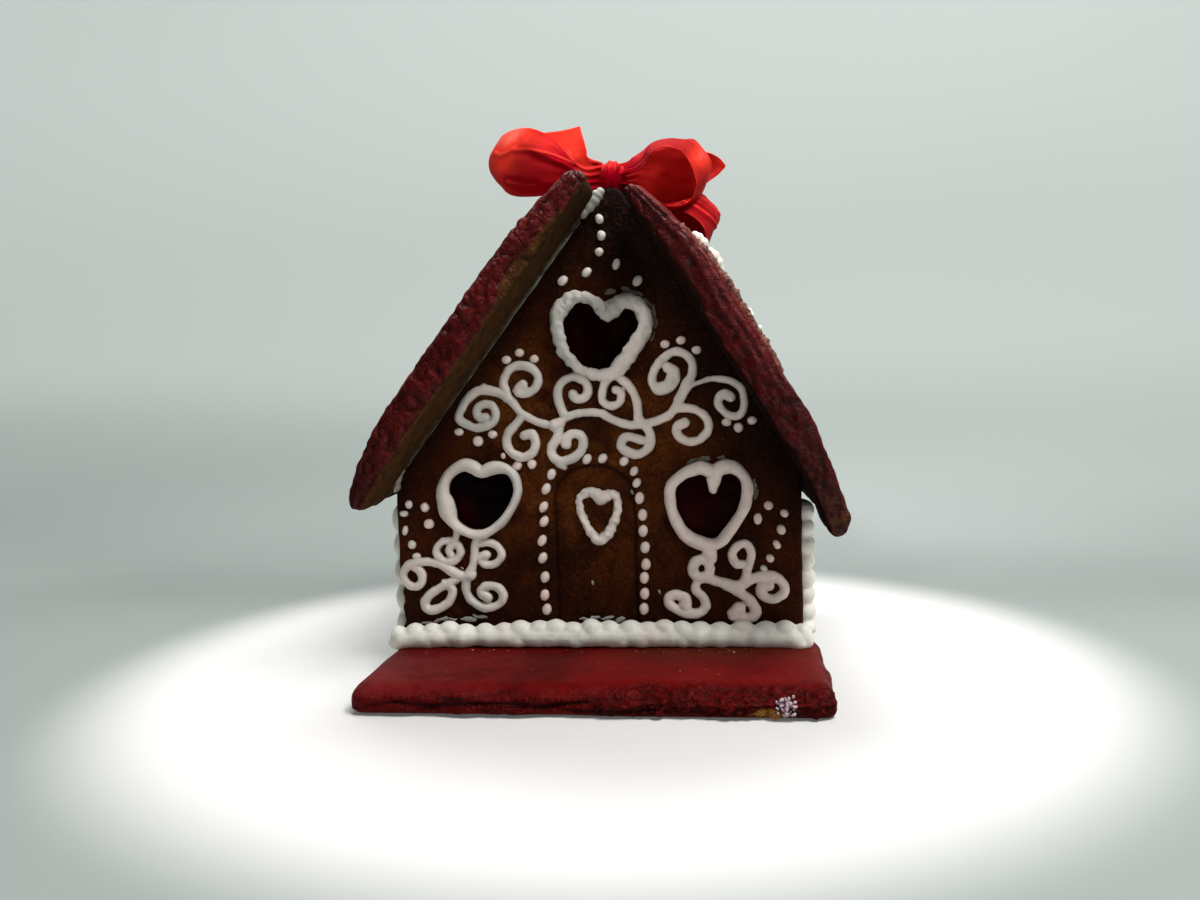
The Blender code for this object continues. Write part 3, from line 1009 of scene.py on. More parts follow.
@dataclass(frozen=True)
class HousePlan:
    """Where the house's faces are, in millimetres."""

    left: float
    right: float
    foot: float
    front: float
    back: float
    roof_front: float
    roof_back: float
    thickness: float = 9.0
    heights: tuple[float, float] = (184.6, 209.6)
    rises: tuple[float, float] = (1.279, 1.632)
    apex_round: float = 5.0
    flare: float = 0.9

    @classmethod
    def measured(cls) -> "HousePlan":
        """Read the plan from the frame's walls and roof.

        Returns:
            The plan.
        """
        low, high = (np.array(corner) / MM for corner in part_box("front_wall"))
        behind = np.array(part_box("back_wall")[1]) / MM
        roof = [np.array(corner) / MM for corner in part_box("roof_left")]
        return cls(left=low[0], right=high[0], foot=low[2], front=low[1], back=behind[1],
                   roof_front=roof[0][1], roof_back=roof[1][1])

    def height(self, side: Side) -> float:
        """Height of a slope's underside over x = 0."""
        return self.heights[0 if side is Side.LEFT else 1]

    def rise(self, side: Side) -> float:
        """Rise of a slope for each millimetre across."""
        return self.rises[0 if side is Side.LEFT else 1]

    def underside(self, x: float, side: Side) -> float:
        """Height of a slope's underside over x."""
        return self.height(side) - side.value * self.rise(side) * x

    def gable(self, reach: float = 1.9) -> Array:
        """Outline of a gable wall, as (x, z) rows from its lower left corner.

        Args:
            reach: how far it presses into the roof.

        Returns:
            The outline.
        """
        left_rise, right_rise = self.rises
        apex = (self.heights[1] - self.heights[0]) / (left_rise + right_rise)
        right_angle = math.atan2(1.0, right_rise)
        left_angle = math.atan2(1.0, -left_rise)
        half = (left_angle - right_angle) / 2
        middle = (left_angle + right_angle) / 2
        drop = self.apex_round / math.cos(half)
        centre = (apex - drop * math.cos(middle), self.underside(apex, Side.RIGHT) - drop * math.sin(middle))
        radius = self.apex_round + reach
        rows = [(self.left - self.flare, self.foot), (self.right, self.foot),
                (self.right, self.underside(self.right, Side.RIGHT) + 1.6 * reach)]
        for angle in np.linspace(right_angle, left_angle, 9):
            rows.append((centre[0] + radius * math.cos(angle), centre[1] + radius * math.sin(angle)))
        rows.append((self.left - self.flare, self.underside(self.left, Side.LEFT) + 1.6 * reach))
        return np.array(rows)


TOP_HEART = np.array((
    (5.7, 144.5, 3.6), (10.0, 147.2, 3.6), (14.0, 148.5, 3.2), (18.3, 146.3, 3.2), (20.9, 141.6, 3.1),
    (20.2, 135.9, 3.2), (16.2, 130.3, 3.3), (11.8, 124.3, 3.4), (7.0, 119.9, 2.9), (1.0, 119.6, 2.5),
    (-5.8, 122.1, 2.1), (-9.6, 125.8, 2.4), (-12.3, 129.9, 2.7), (-14.4, 137.8, 2.8), (-14.0, 144.4, 3.2),
    (-10.4, 148.9, 3.1), (-6.2, 150.9, 2.7), (-0.4, 149.8, 2.2), (3.0, 146.5, 2.6),
))
LEFT_HEART = np.array((
    (-47.9, 81.3, 2.6), (-43.0, 83.0, 2.9), (-37.6, 82.4, 2.2), (-34.2, 79.2, 1.9), (-33.1, 73.5, 1.9),
    (-35.6, 66.7, 1.9), (-40.3, 60.5, 2.0), (-45.6, 56.6, 1.9), (-50.2, 55.2, 2.2), (-55.8, 56.8, 2.1),
    (-60.6, 60.3, 2.4), (-62.6, 64.5, 3.9), (-63.7, 69.0, 3.7), (-64.6, 73.0, 3.0), (-63.2, 78.4, 2.4),
    (-59.6, 82.3, 2.4), (-55.0, 84.3, 2.8), (-51.2, 83.2, 2.9),
))
RIGHT_HEART = np.array((
    (46.6, 79.6, 3.0), (50.3, 81.2, 3.2), (54.6, 81.0, 2.7), (58.2, 77.8, 2.4), (59.9, 73.4, 2.5),
    (59.2, 67.5, 2.5), (56.7, 61.6, 2.4), (52.8, 55.9, 2.4), (48.6, 51.2, 2.5), (44.4, 50.0, 2.9),
    (38.8, 51.5, 2.9), (34.0, 55.2, 2.8), (30.8, 60.8, 2.5), (29.1, 67.0, 2.4), (29.4, 73.3, 2.4),
    (32.3, 77.3, 2.3), (36.6, 79.8, 2.5), (41.8, 81.2, 2.9),
))
DOOR_HEART = np.array((
    (1.5, 69.8, 3.0), (4.5, 71.0, 2.3), (7.0, 70.3, 1.9), (7.9, 67.0, 1.7), (7.2, 63.2, 1.8),
    (5.4, 58.0, 1.9), (2.4, 53.9, 2.3), (-0.6, 52.7, 2.3), (-3.4, 55.6, 1.9), (-5.9, 60.2, 1.7),
    (-7.4, 65.4, 1.6), (-7.3, 70.2, 1.7), (-3.6, 72.4, 2.2), (-0.5, 71.2, 2.5),
))


def along_heart(heart: Array, part: float, step: float = 0.8) -> Array:
    """Line beside a heart's stroke.

    Args:
        heart: the stroke's (x, z, half width) rows, clockwise from its notch.
        part: -1 for its inner edge, 0 for its middle and 1 for its outer edge.
        step: distance between points.

    Returns:
        (x, z) rows.
    """
    run = smooth_run(heart, step, closed=True, axes=2)
    ahead = lengthwise(run[:, :2], closed=True)
    outer = quarter_turn(ahead)
    return run[:, :2] + outer * run[:, 2:3] * part


# ----- Board -----


@dataclass
class Board:
    """The red board: smooth on top, torn along its front edge."""

    coarse_reach: float = 11.0
    radii: Spot = (6.0, 5.0, 4.2)
    foot_round: float = 2.4
    torn: Spot = (63.0, -90.5, 2.2)

    def build(self, finish: Finish) -> None:
        """Model the board and dress it.

        Args:
            finish: material of the piece.
        """
        low, high = (np.array(corner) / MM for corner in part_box("base_board"))
        relief = Relief(11)
        wide = np.linspace(low[0], high[0], 150)
        deep = np.concatenate([np.arange(low[1], low[1] + 14.0, 0.8),
                               np.linspace(low[1] + 14.0, high[1], 64)])
        tall = np.linspace(low[2], high[2], 14)
        shell = box_shell(wide, deep, tall)
        middle = (low + high) / 2
        radii = np.where(shell.points[:, 2:3] > middle[2], np.array(self.radii),
                         np.array((self.radii[0], self.radii[1], self.foot_round)))
        right = soft_step(shell.points[:, 0] + relief.at(shell.points, 25.0) * 12.0, -10.0, 12.0)
        radii[:, 1] += (1 - right) * 3.0
        points = rounded(shell.points, low, high, radii)
        lip = soft_drop(points[:, 1], low[1] + 1.0, low[1] + 10.0) * soft_step(points[:, 2], 3.0, 9.0)
        points[:, 2] -= lip * (0.8 + 1.5 * relief.at(points * (1, 0, 0), 20.0)
                               + 0.5 * relief.at(points * (1, 0, 0), 7.0))
        points[:, 2] -= (2.0 * right * soft_drop(points[:, 1], low[1], low[1] + 13.0)
                         * soft_step(points[:, 2], 3.0, 9.0))
        shell = Draft(points, shell.faces)
        out = shell.outward()
        front = (soft_step(-out[:, 1], 0.35, 0.8)
                 * soft_drop(points[:, 1], low[1] + 2.0, low[1] + self.coarse_reach))
        apron = right * soft_step(points[:, 2], 4.0, 7.0)
        apron *= soft_drop(points[:, 1] - relief.at(points, 9.0) * 3.0, low[1] + 6.0, low[1] + 12.0)
        front = np.maximum(front, 0.8 * apron)
        edge = soft_step(np.abs(out[:, 0]) + np.abs(out[:, 1]), 0.3, 0.85)
        folds = relief.crust(points, 5.5, 3, (4.5, 1.0, 1.0))
        pores = relief.crust(points, 3.4, 3, (1.2, 1.0, 1.0))
        rough = folds * (1 - right) + pores * right
        slow = relief.at(points, 46.0) * 0.9 + relief.at(points, 13.0) * 0.28
        amount = slow * soft_step(out[:, 2], 0.2, 0.9) * 0.6
        amount += (relief.at(points, 19.0, (1.0, 1.0, 2.5)) * 1.3 * edge
                   + front * relief.at(points, 8.0, (1.6, 1, 1)) * 0.7)
        amount += front * (rough - 0.62) * (1.9 + 1.5 * right)
        crease = np.zeros(len(points))
        for level, swing, wide, start, stop in ((4.6, 2.6, 0.75, -84.0, 14.0), (7.6, 1.8, 0.55, -62.0, -4.0),
                                                (2.6, 1.2, 0.7, -12.0, 30.0)):
            drift = relief.at(points + level * 9.0, 17.0, (1.0, 9.0, 9.0)) * swing
            span = soft_step(points[:, 0], start, start + 16.0) * soft_drop(points[:, 0], stop - 16.0, stop)
            crease = np.maximum(crease, hump(points[:, 2] - level - drift, wide) * span)
        amount -= front * crease * (1.1 + 1.1 * relief.at(points, 12.0)).clip(0.2)
        amount -= edge * (1 - front) * (1 - relief.crust(points, 6.0, 2)) * 0.5
        amount *= soft_step(points[:, 2], low[2] + 0.2, low[2] + 1.6)
        shell.traits = {
            # Lower relief in the front creases darkens them through the pit colour: painted shade.
            "relief": np.clip((0.6 * rough + 0.30 - 0.22 * right) * (1 - 0.95 * crease), 0.0, 1.0),
            "coarse": np.clip(front + 0.4 * edge * (1 - front), 0.0, 1.0),
            # Painted sheen on the left of the board's top.
            "bloom": (soft_drop(points[:, 0], -80.0, -5.0) * soft_step(out[:, 2], 0.4, 0.9)
                      * soft_drop(points[:, 1], -60.0, -30.0)),
            "bare": np.maximum(soft_drop(points[:, 2], 0.0, 1.4) * 0.7, 0.45 * np.exp(
                -((points[:, 0] - 46.0) / 34.0) ** 2 - ((points[:, 1] + 44.0) / 8.0) ** 2)),
            "torn": self._torn(points, relief),
            "pale": np.zeros(len(points)),
            "hidden": np.zeros(len(points)),
        }
        shell.swollen(amount).piece("red_board", finish, "red_gingerbread", ["base_board"])

    def _torn(self, points: Array, relief: Relief) -> Array:
        """Where the golden crumb shows at the lower front edge."""
        away = (points - np.array(self.torn)) / np.array((7.0, 5.0, 2.2))
        return soft_step(1.0 - np.linalg.norm(away, axis=1) + relief.at(points, 3.0) * 0.35, 0.0, 0.4)


@dataclass
class Scatter:
    """Sugar crystals at the torn edge and crumbs lying about."""

    crystal_middle: Spot = (68.4, -90.2, 5.0)
    crystals: int = 70
    crumbs: int = 46

    def build(self, sugar: Finish, crumb: Finish) -> None:
        """Model both and dress them.

        Args:
            sugar: material of the crystals.
            crumb: material of the crumbs.
        """
        source = np.random.default_rng(5)
        grains = []
        for _ in range(self.crystals):
            offset = source.normal(size=3) * (1.8, 0.4, 1.5)
            size = source.uniform(0.34, 0.80)
            grains.append(lump(np.array(self.crystal_middle) + offset, source.uniform(0.7, 1.3, 3) * size,
                               source.uniform(0, 180), "Y", around=5, rows=4))
        Draft.joined(grains).piece("sugar_crystals", sugar, "royal_icing")
        bits = []
        for _ in range(self.crumbs):
            x = source.uniform(-70.0, 84.0)
            y = (source.uniform(-1.0, 1.0) * 3.0 - 44.0 if source.uniform() < 0.65
                 else source.uniform(-78.0, -44.0))
            size = source.uniform(0.18, 0.42)
            bits.append(lump((x, y, 10.3 + size * 0.3), source.uniform(0.6, 1.5, 3) * size,
                             source.uniform(0, 180), "Z", around=6, rows=4))
        Draft.joined(bits).piece("board_crumbs", crumb, "brown_gingerbread")


# ----- Walls -----


def inside_outline(points: Array, outline: Array) -> Array:
    """Whether each (x, z) point lies inside a closed outline.

    Args:
        points: (x, z) points.
        outline: corners of the outline.

    Returns:
        True for each point inside.
    """
    hits = np.zeros(len(points), bool)
    following = np.roll(outline, -1, axis=0)
    for (x, z), (x_next, z_next) in zip(outline, following):
        if z == z_next:
            continue
        crossing = (z > points[:, 1]) != (z_next > points[:, 1])
        hits ^= crossing & (points[:, 0] < (x_next - x) * (points[:, 1] - z) / (z_next - z) + x)
    return hits


def gap_to(points: Array, line: Array, closed: bool = True) -> Array:
    """Distance from each (x, z) point to a line.

    Args:
        points: (x, z) points.
        line: points of the line.
        closed: whether the line closes on itself.

    Returns:
        One distance for each point.
    """
    starts = line if closed else line[:-1]
    spans = (np.roll(line, -1, axis=0) if closed else line[1:]) - starts
    nearest = np.full(len(points), 1e9)
    for start, span in zip(starts, spans):
        away = points - start
        share = np.clip(away @ span / max(span @ span, 1e-9), 0.0, 1.0)
        nearest = np.minimum(nearest, np.hypot(*(away - share[:, None] * span).T))
    return nearest


@dataclass
class Biscuit:
    """A flat biscuit wall with soft edges, cut openings and scored lines."""

    outline: Array
    thickness: float
    pitch: float
    holes: list[Array] = field(default_factory=list)
    scores: list[Array] = field(default_factory=list)
    edge_round: float = 1.7
    hole_round: float = 0.9
    score_depth: float = 0.85
    uneven: float = 0.35

    def draft(self, place: Callable[[Array, Array, Array], Array], seed: int) -> Draft:
        """Model the wall.

        Args:
            place: turns (across, depth, up) into frame coordinates.
            seed: picks the unevenness.

        Returns:
            The closed wall.
        """
        flat, triangles = self._triangles()
        depth = self._depth(flat, seed)
        front = place(flat[:, 0], depth, flat[:, 1])
        rim = self._rim(triangles)
        shape = bmesh.new()
        verts = [shape.verts.new(point) for point in front]
        for face in triangles:
            shape.faces.new([verts[k] for k in face])
        numbers = sorted({k for pair in rim for k in pair})
        layers = [{k: verts[k] for k in numbers}]
        for level in (0.35, 0.70, 1.0):
            spots = place(flat[numbers, 0], depth[numbers] + (self.thickness - depth[numbers]) * level,
                          flat[numbers, 1])
            layers.append({k: shape.verts.new(spot) for k, spot in zip(numbers, spots)})
        edges = []
        for upper, lower in zip(layers, layers[1:]):
            for a, b in rim:
                shape.faces.new((upper[a], upper[b], lower[b], lower[a]))
        for a, b in rim:
            edges.append(shape.edges.get((layers[-1][a], layers[-1][b])))
        bmesh.ops.triangle_fill(shape, use_beauty=True, use_dissolve=False, edges=edges)
        shape.verts.index_update()
        points = np.array([vert.co for vert in shape.verts])
        faces = [tuple(vert.index for vert in face.verts) for face in shape.faces]
        shape.free()
        return Draft(points, faces)

    def _triangles(self) -> tuple[Array, list[tuple[int, ...]]]:
        """Cut the face into triangles, closer together at edges and scored lines.

        Returns:
            Points of the face, as (x, z), and triangles, as point numbers.
        """
        loops = [self.outline] + self.holes
        rings, fences, start = [], [], 0
        for loop in loops:
            rings.append(loop)
            count = len(loop)
            fences += [(start + k, start + (k + 1) % count) for k in range(count)]
            start += count
        free = []
        for loop in loops:
            ahead = lengthwise(loop, closed=True)
            aside = quarter_turn(ahead)
            for reach in (0.4, 0.9, 1.5):
                free += [loop + aside * reach, loop - aside * reach]
        for score in self.scores:
            ahead = lengthwise(score)
            aside = quarter_turn(ahead)
            free += [score + aside * reach for reach in (-0.9, -0.4, 0.0, 0.4, 0.9)]
        near = np.vstack(free)
        low, high = self.outline.min(axis=0), self.outline.max(axis=0)
        columns, rows = np.meshgrid(np.arange(low[0], high[0], self.pitch),
                                    np.arange(low[1], high[1], self.pitch))
        grid = np.column_stack([columns.ravel(), rows.ravel()])
        gaps = self._edge_gap(grid)
        for score in self.scores:
            gaps = np.minimum(gaps, gap_to(grid, score, closed=False) + 0.4)
        grid = grid[self._within(grid) & (gaps > 1.5 + 0.3 * self.pitch)]
        near = near[self._within(near) & (self._edge_gap(near) > 0.3)]
        spots = np.vstack(rings + [near, grid])
        cut = delaunay_2d_cdt([Vector(spot) for spot in spots], fences, [], 0, 1e-4)
        flat = np.array([tuple(vert) for vert in cut[0]])
        faces = np.array([tuple(face) for face in cut[2]])
        middles = flat[faces].mean(axis=1)
        kept = faces[self._within(middles)]
        used = np.unique(kept)
        fresh = np.full(len(flat), -1)
        fresh[used] = np.arange(len(used))
        return flat[used], [tuple(face) for face in fresh[kept].tolist()]

    def _within(self, points: Array) -> Array:
        """Whether each point is on the biscuit.

        Args:
            points: (x, z) points.

        Returns:
            True for each point inside.
        """
        inside = inside_outline(points, self.outline)
        for hole in self.holes:
            inside &= ~inside_outline(points, hole)
        return inside

    def _edge_gap(self, points: Array) -> Array:
        """Distance from each point to the nearest edge.

        Args:
            points: (x, z) points.

        Returns:
            One distance for each point.
        """
        gap = gap_to(points, self.outline)
        for hole in self.holes:
            gap = np.minimum(gap, gap_to(points, hole))
        return gap

    def _depth(self, flat: Array, seed: int) -> Array:
        """How far each point of the face lies behind the wall's front.

        Args:
            flat: points of the face, as (x, z).
            seed: number that picks the random draws.

        Returns:
            One depth for each point.
        """
        relief = Relief(seed)
        spots = upright(flat[:, 0], 0.0, flat[:, 1])
        bumps = relief.at(spots, 26.0) * 0.6 + relief.at(spots, 8.0) * 0.28 + relief.at(spots, 3.0) * 0.10
        depth = (bumps + 0.6) * self.uneven
        for line, radius in [(self.outline, self.edge_round)] + [(hole, self.hole_round)
                                                                 for hole in self.holes]:
            into = np.clip(radius - gap_to(flat, line), 0.0, radius)
            depth += radius - np.sqrt(radius ** 2 - into ** 2)
        for score in self.scores:
            depth += self.score_depth * hump(gap_to(flat, score, closed=False), 0.55)
        return np.maximum(depth, 0.0)

    def _rim(self, triangles: list[tuple[int, ...]]) -> list[tuple[int, int]]:
        """Edges that only one triangle uses, in its own direction.

        Args:
            triangles: triangles of the face.

        Returns:
            Edges, as pairs of point numbers.
        """
        counts: dict[frozenset, tuple[int, int] | None] = {}
        for a, b, c in triangles:
            for pair in ((a, b), (b, c), (c, a)):
                key = frozenset(pair)
                counts[key] = None if key in counts else pair
        return [pair for pair in counts.values() if pair]


@dataclass
class Walls:
    """Two gable walls and two side walls of brown gingerbread."""

    plan: HousePlan
    door_centre: float = -1.7
    door_half: float = 16.2
    door_spring: float = 70.0
    door_top: float = 83.0

    def build(self, finish: Finish) -> None:
        """Model the four walls and dress them.

        Args:
            finish: material of the piece.
        """
        self._front(finish)
        self._back(finish)
        for side in Side:
            self._side(finish, side)

    def _edge(self, outline: Array, step: float, seed: int, chip: float = 0.0) -> Array:
        """Step round an outline, drawing it in a little at random and more at a chipped corner.

        Args:
            outline: corners of the outline.
            step: distance between points.
            seed: number that picks the random draws.
            chip: how far in the chipped corner is drawn.

        Returns:
            Points of the outline.
        """
        rows = []
        for start, stop in zip(outline, np.roll(outline, -1, axis=0)):
            count = max(1, int(round(np.linalg.norm(stop - start) / step)))
            rows.append(start + (stop - start) * np.arange(count)[:, None] / count)
        run = np.vstack(rows)
        ahead = lengthwise(run, closed=True)
        inner = quarter_turn(ahead)
        relief = Relief(seed)
        spots = upright(run[:, 0], 0.0, run[:, 1])
        draw = (relief.at(spots, 7.0) + 0.8).clip(0) * 0.30 * soft_drop(run[:, 1], 70.0, 90.0)
        bites = (soft_step(run[:, 1], 14.0, 19.0) * soft_drop(run[:, 1], 32.0, 39.0)
                 * (run[:, 0] < self.plan.left + 3))
        draw += chip * bites * (0.9 + 1.1 * relief.at(spots, 3.2)).clip(0.1)
        return run + inner * draw[:, None]

    def _front(self, finish: Finish) -> None:
        """Front gable with heart windows and a scored door.

        Args:
            finish: material of the piece.
        """
        angles = np.linspace(math.pi, 0.0, 28)
        arch = np.column_stack([self.door_centre + self.door_half * np.cos(angles),
                                self.door_spring + (self.door_top - self.door_spring) * np.sin(angles)])
        foot = self.plan.foot + 1.0
        posts = np.arange(foot, self.door_spring, 1.1)
        left = np.column_stack([np.full(len(posts), arch[0, 0]), posts])
        right = np.column_stack([np.full(len(posts), arch[-1, 0]), posts[::-1]])
        door = np.vstack([left, arch, right])
        wobble = Relief(31).at(np.column_stack([door[:, 0], door[:, 1], door[:, 1]]), 12.0)
        door[:, 0] += wobble * 0.35
        holes = [along_heart(heart, -0.5) for heart in (TOP_HEART, LEFT_HEART, RIGHT_HEART)]
        wall = Biscuit(self._edge(self.plan.gable(), 1.0, 3, 0.9), self.plan.thickness, 1.3, holes, [door])
        gable = wall.draft(lambda x, depth, z: np.column_stack([x, self.plan.front + depth, z]), 4)
        x, z = gable.points[:, 0], gable.points[:, 2]
        shade = np.zeros(len(x))
        for side, reach, strong in ((Side.LEFT, 8.0, 0.75), (Side.RIGHT, 15.0, 0.90)):
            away = (self.plan.underside(x, side) - z) / math.hypot(1.0, self.plan.rise(side))
            shade = np.maximum(shade, strong * hump(away.clip(0), reach))
        gable.traits["shade"] = np.maximum(shade, 0.45 * hump(z, 24.0, self.plan.foot))
        # Painted shade along the scored door line.
        gable.traits["score"] = 0.8 * hump(gap_to(gable.points[:, [0, 2]], door, False), 0.8)
        gable.piece("gable_front", finish, "brown_gingerbread", ["front_wall"])

    def _back(self, finish: Finish) -> None:
        """Plain rear gable.

        Args:
            finish: material of the piece.
        """
        wall = Biscuit(self._edge(self.plan.gable(), 1.6, 8), self.plan.thickness, 2.2)
        wall.draft(lambda x, depth, z: np.column_stack([x, self.plan.back - depth, z]), 9).piece(
            "gable_back", finish, "brown_gingerbread", ["back_wall"])

    def _side(self, finish: Finish, side: Side) -> None:
        """One side wall, between the gables.

        Args:
            finish: material of the piece.
            side: which side of the house.
        """
        node = "left_wall" if side is Side.LEFT else "right_wall"
        low, high = (np.array(corner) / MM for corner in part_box(node))
        outer = low[0] if side is Side.LEFT else high[0]
        top = self.plan.underside(outer, side) - 0.8
        outline = np.array(((low[1], low[2]), (high[1], low[2]), (high[1], top), (low[1], top)))
        wall = Biscuit(self._edge(outline, 1.6, 12), self.plan.thickness, 2.0)
        draft = wall.draft(lambda y, depth, z: np.column_stack([outer - side.value * depth, y, z]),
                           14 + side.value)
        draft.piece("side_" + node, finish, "brown_gingerbread", [node])


@dataclass
class Panes:
    """Dark candy panes set back in the heart windows."""

    sag: float = 0.5
    grow: float = 0.12

    def build(self, finish: Finish) -> None:
        """Model the three panes and dress them.

        Args:
            finish: material of the piece.
        """
        # The number after each heart is that pane's painted red glow.
        for label, heart, shine in (("top", TOP_HEART, 0.25), ("left", LEFT_HEART, 0.05),
                                    ("right", RIGHT_HEART, 0.45)):
            low, high = (np.array(corner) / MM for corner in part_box("pane_" + label))
            line = along_heart(heart, -0.5 - self.grow, 1.2)
            pane = Biscuit(line, high[1] - low[1], 1.6, edge_round=1.2, uneven=0.5)
            draft = pane.draft(lambda x, depth, z: np.column_stack([x, low[1] + depth, z]), 21)
            x, z = draft.points[:, 0], draft.points[:, 2]
            # Painted glow: each pane's own level of red light shining through, more in a lower corner and
            # along the rim.
            corner = np.hypot(x - low[0], z - low[2] - 6.0)
            rim = soft_drop(gap_to(draft.points[:, [0, 2]], line), 0.0, 3.0)
            draft.traits = {"thin": np.clip(shine + 0.7 * soft_drop(corner, 5.0, 14.0) + 0.3 * rim, 0.0, 1.0)}
            draft.piece("candy_" + label, finish, "candy_glass", ["pane_" + label])


# ----- Roof -----


@dataclass
class RoofPanel:
    """One thick red roof panel, drawn flat: along its slope from the eave, back, and out."""

    plan: HousePlan
    side: Side
    eave: float
    ridge: float
    middle: float
    eave_end: float
    ridge_end: float
    eave_reach: float
    ridge_reach: float
    droop: float = 2.4
    droop_reach: float = 16.0
    rough: float = 1.6
    rolled: bool = False
    gap: float = 0.3

    def thickness(self, place: Array) -> Array:
        """Thickness at a distance up the slope.

        Args:
            place: distances up the slope.

        Returns:
            One thickness for each.
        """
        length = self.ridge - self.eave
        low = np.clip(place / self.eave_reach, 0.0, 1.0)
        high = np.clip((length - place) / self.ridge_reach, 0.0, 1.0)
        from_eave = self.eave_end + (self.middle - self.eave_end) * np.sin(math.pi / 2 * low)
        from_ridge = self.ridge_end + (self.middle - self.ridge_end) * np.sin(math.pi / 2 * high)
        return np.minimum(from_eave, from_ridge)

    def sag(self, flat: Array) -> Array:
        """How far the eave hangs below the slope, most of all in front of the wall."""
        over = soft_drop(flat[:, 1], self.plan.front - 14.0, self.plan.front)
        return self.droop * hump(flat[:, 0], self.droop_reach) * (0.3 + 0.7 * over)

    def to_frame(self, flat: Array) -> Array:
        """Turn (up the slope, back, out) into frame coordinates.

        Args:
            flat: points as (up the slope, back, out).

        Returns:
            The same points in the frame.
        """
        rise = self.plan.rise(self.side)
        run = math.hypot(1.0, rise)
        away = self.plan.height(self.side) / run + self.gap
        sign = self.side.value
        x = sign * (rise * away - self.eave) / run - sign * flat[:, 0] / run + sign * flat[:, 2] * rise / run
        z = (away + self.eave * rise) / run + flat[:, 0] * rise / run + flat[:, 2] / run
        return np.column_stack([x, flat[:, 1], z])

    def build(self, finish: Finish) -> None:
        """Model the panel and dress it.

        Args:
            finish: material of the piece.
        """
        relief = Relief(40 + self.side.value)
        length = self.ridge - self.eave
        slope = np.linspace(0.0, length, int(length / 0.9))
        front, back = self.plan.roof_front, self.plan.roof_back
        deep = np.concatenate([np.arange(front, front + 9.0, 0.8), np.linspace(front + 9.0, back - 6.0, 58),
                               np.arange(back - 5.0, back + 0.5, 1.0)])
        shell = box_shell(slope, deep, np.linspace(0.0, 1.0, 14))
        flat = shell.points.copy()
        thick = self.thickness(flat[:, 0]) + self.sag(flat)
        flat[:, 2] *= thick
        low = np.array((0.0, front, 0.0))
        high = np.column_stack([np.full(len(flat), length), np.full(len(flat), back), thick])
        upper = shell.points[:, 2:3] > 0.5
        radii = np.where(upper, (4.5, 2.6, 3.4), (4.5, 1.6, 3.2))
        radii[:, 2] = np.minimum(radii[:, 2], 0.45 * thick)
        radii[:, 1] = np.where(flat[:, 0] < 12.0, 2.6, radii[:, 1])
        soft = Draft(rounded(flat, low, high, radii), shell.faces)
        out = soft.outward()
        place = soft.points
        face = soft_step(np.abs(out[:, 1]), 0.35, 0.8)
        outer = soft_step(out[:, 2], 0.3, 0.9)
        under = soft_step(-out[:, 2], 0.3, 0.9)
        ends = soft_step(np.abs(out[:, 0]), 0.35, 0.85)
        lumps = relief.crust(place, 6.5 if self.rolled else 5.6, 3,
                             (1.9, 1.0, 1.0) if self.rolled else (1.3, 1.0, 1.0))
        fine = relief.crust(place + 40.0, 2.8, 2, (1.8, 1.0, 1.0) if self.rolled else (1.0, 1.0, 1.0))
        rough = 0.6 * lumps + 0.4 * fine
        amount = (face + 0.5 * ends) * ((lumps - 0.60) * self.rough + (fine - 0.60) * 0.8)
        rim = hump(place[:, 1], 7.0, front) + hump(place[:, 1], 7.0, back)
        pinch = np.sin(2 * math.pi * (place[:, 0] + relief.at(place, 16.0) * 3.0) / 4.8)
        pinch *= 0.22 * (place[:, 1] < 0.0) * (0.5 + 0.7 * relief.at(place, 13.0))
        amount += outer * rim * (pinch + 0.40 * relief.at(place, 5.0))
        amount += outer * (relief.at(place, 24.0) * 0.7 + relief.at(place, 7.0) * 0.22)
        amount += (face + ends) * relief.at(place, 14.0, (1.0, 3.0, 3.0)) * 0.5
        amount += under * (relief.at(place, 9.0) * 0.5 + relief.at(place, 3.0) * 0.25 - 0.1)
        lip = np.zeros(len(place))
        if self.rolled:
            lip = self._lip(place, thick, relief) * (face + outer).clip(0.0, 1.0)
            amount = amount * (1 - 0.5 * lip.clip(0.0, 1.0)) + lip
        joint = self.plan.front - 3.0 + relief.at(place, 12.0) * 1.6
        strong = 0.35 + 0.65 * soft_step(place[:, 0], 78.0, 104.0) + 0.5 * hump(place[:, 0], 12.0, 14.0)
        soft.traits = {
            "relief": rough,
            "coarse": np.clip(face + 0.6 * ends + 0.25 * rim * outer, 0.0, 1.0),
            # Painted highlight on the outer front edge and along the rolled lip's folds.
            "bloom": np.maximum(self._bloom(place, out), 2.0 * lip.clip(0.0, 1.2) ** 2),
            "bare": self._bare(place, out, thick, relief),
            "torn": (0.3 * self.rolled * face * hump(place[:, 0], 12.0)
                     * soft_step(relief.at(place, 4.0), -0.1, 0.5)),
            # Painted shade on the underside beyond the wall, high up and near the wall, and on the faces near
            # the eave.
            "hidden": (
                under
                * np.maximum(soft_step(place[:, 1], joint, joint + 2.0) * (place[:, 1] < self.plan.back),
                             0.45 * soft_step(place[:, 0], 96.0, 150.0)
                             + 0.5 * soft_step(place[:, 1], front + 14.0, front + 30.0)).clip(0.0, 1.0)
                + (1 - under) * 0.50 * hump(place[:, 0], 40.0)),
            "pale": under * hump(place[:, 1] - joint + 1.0, 2.2) * strong.clip(0.0, 1.0),
        }
        place[:, 2] -= self.sag(place)
        moved = soft.swollen(amount)
        panel = Draft(self.to_frame(moved.points), moved.faces, moved.traits)
        name = self.side.name.lower()
        panel.piece("red_roof_" + name, finish, "red_gingerbread", ["roof_" + name])

    def _bloom(self, place: Array, out: Array) -> Array:
        """Painted sheen: where the outer front edge is painted paler, as if it caught the light."""
        front = self.plan.roof_front
        return soft_step(out[:, 2], 0.2, 0.8) * soft_drop(place[:, 1], front, front + 8.0) * 0.7

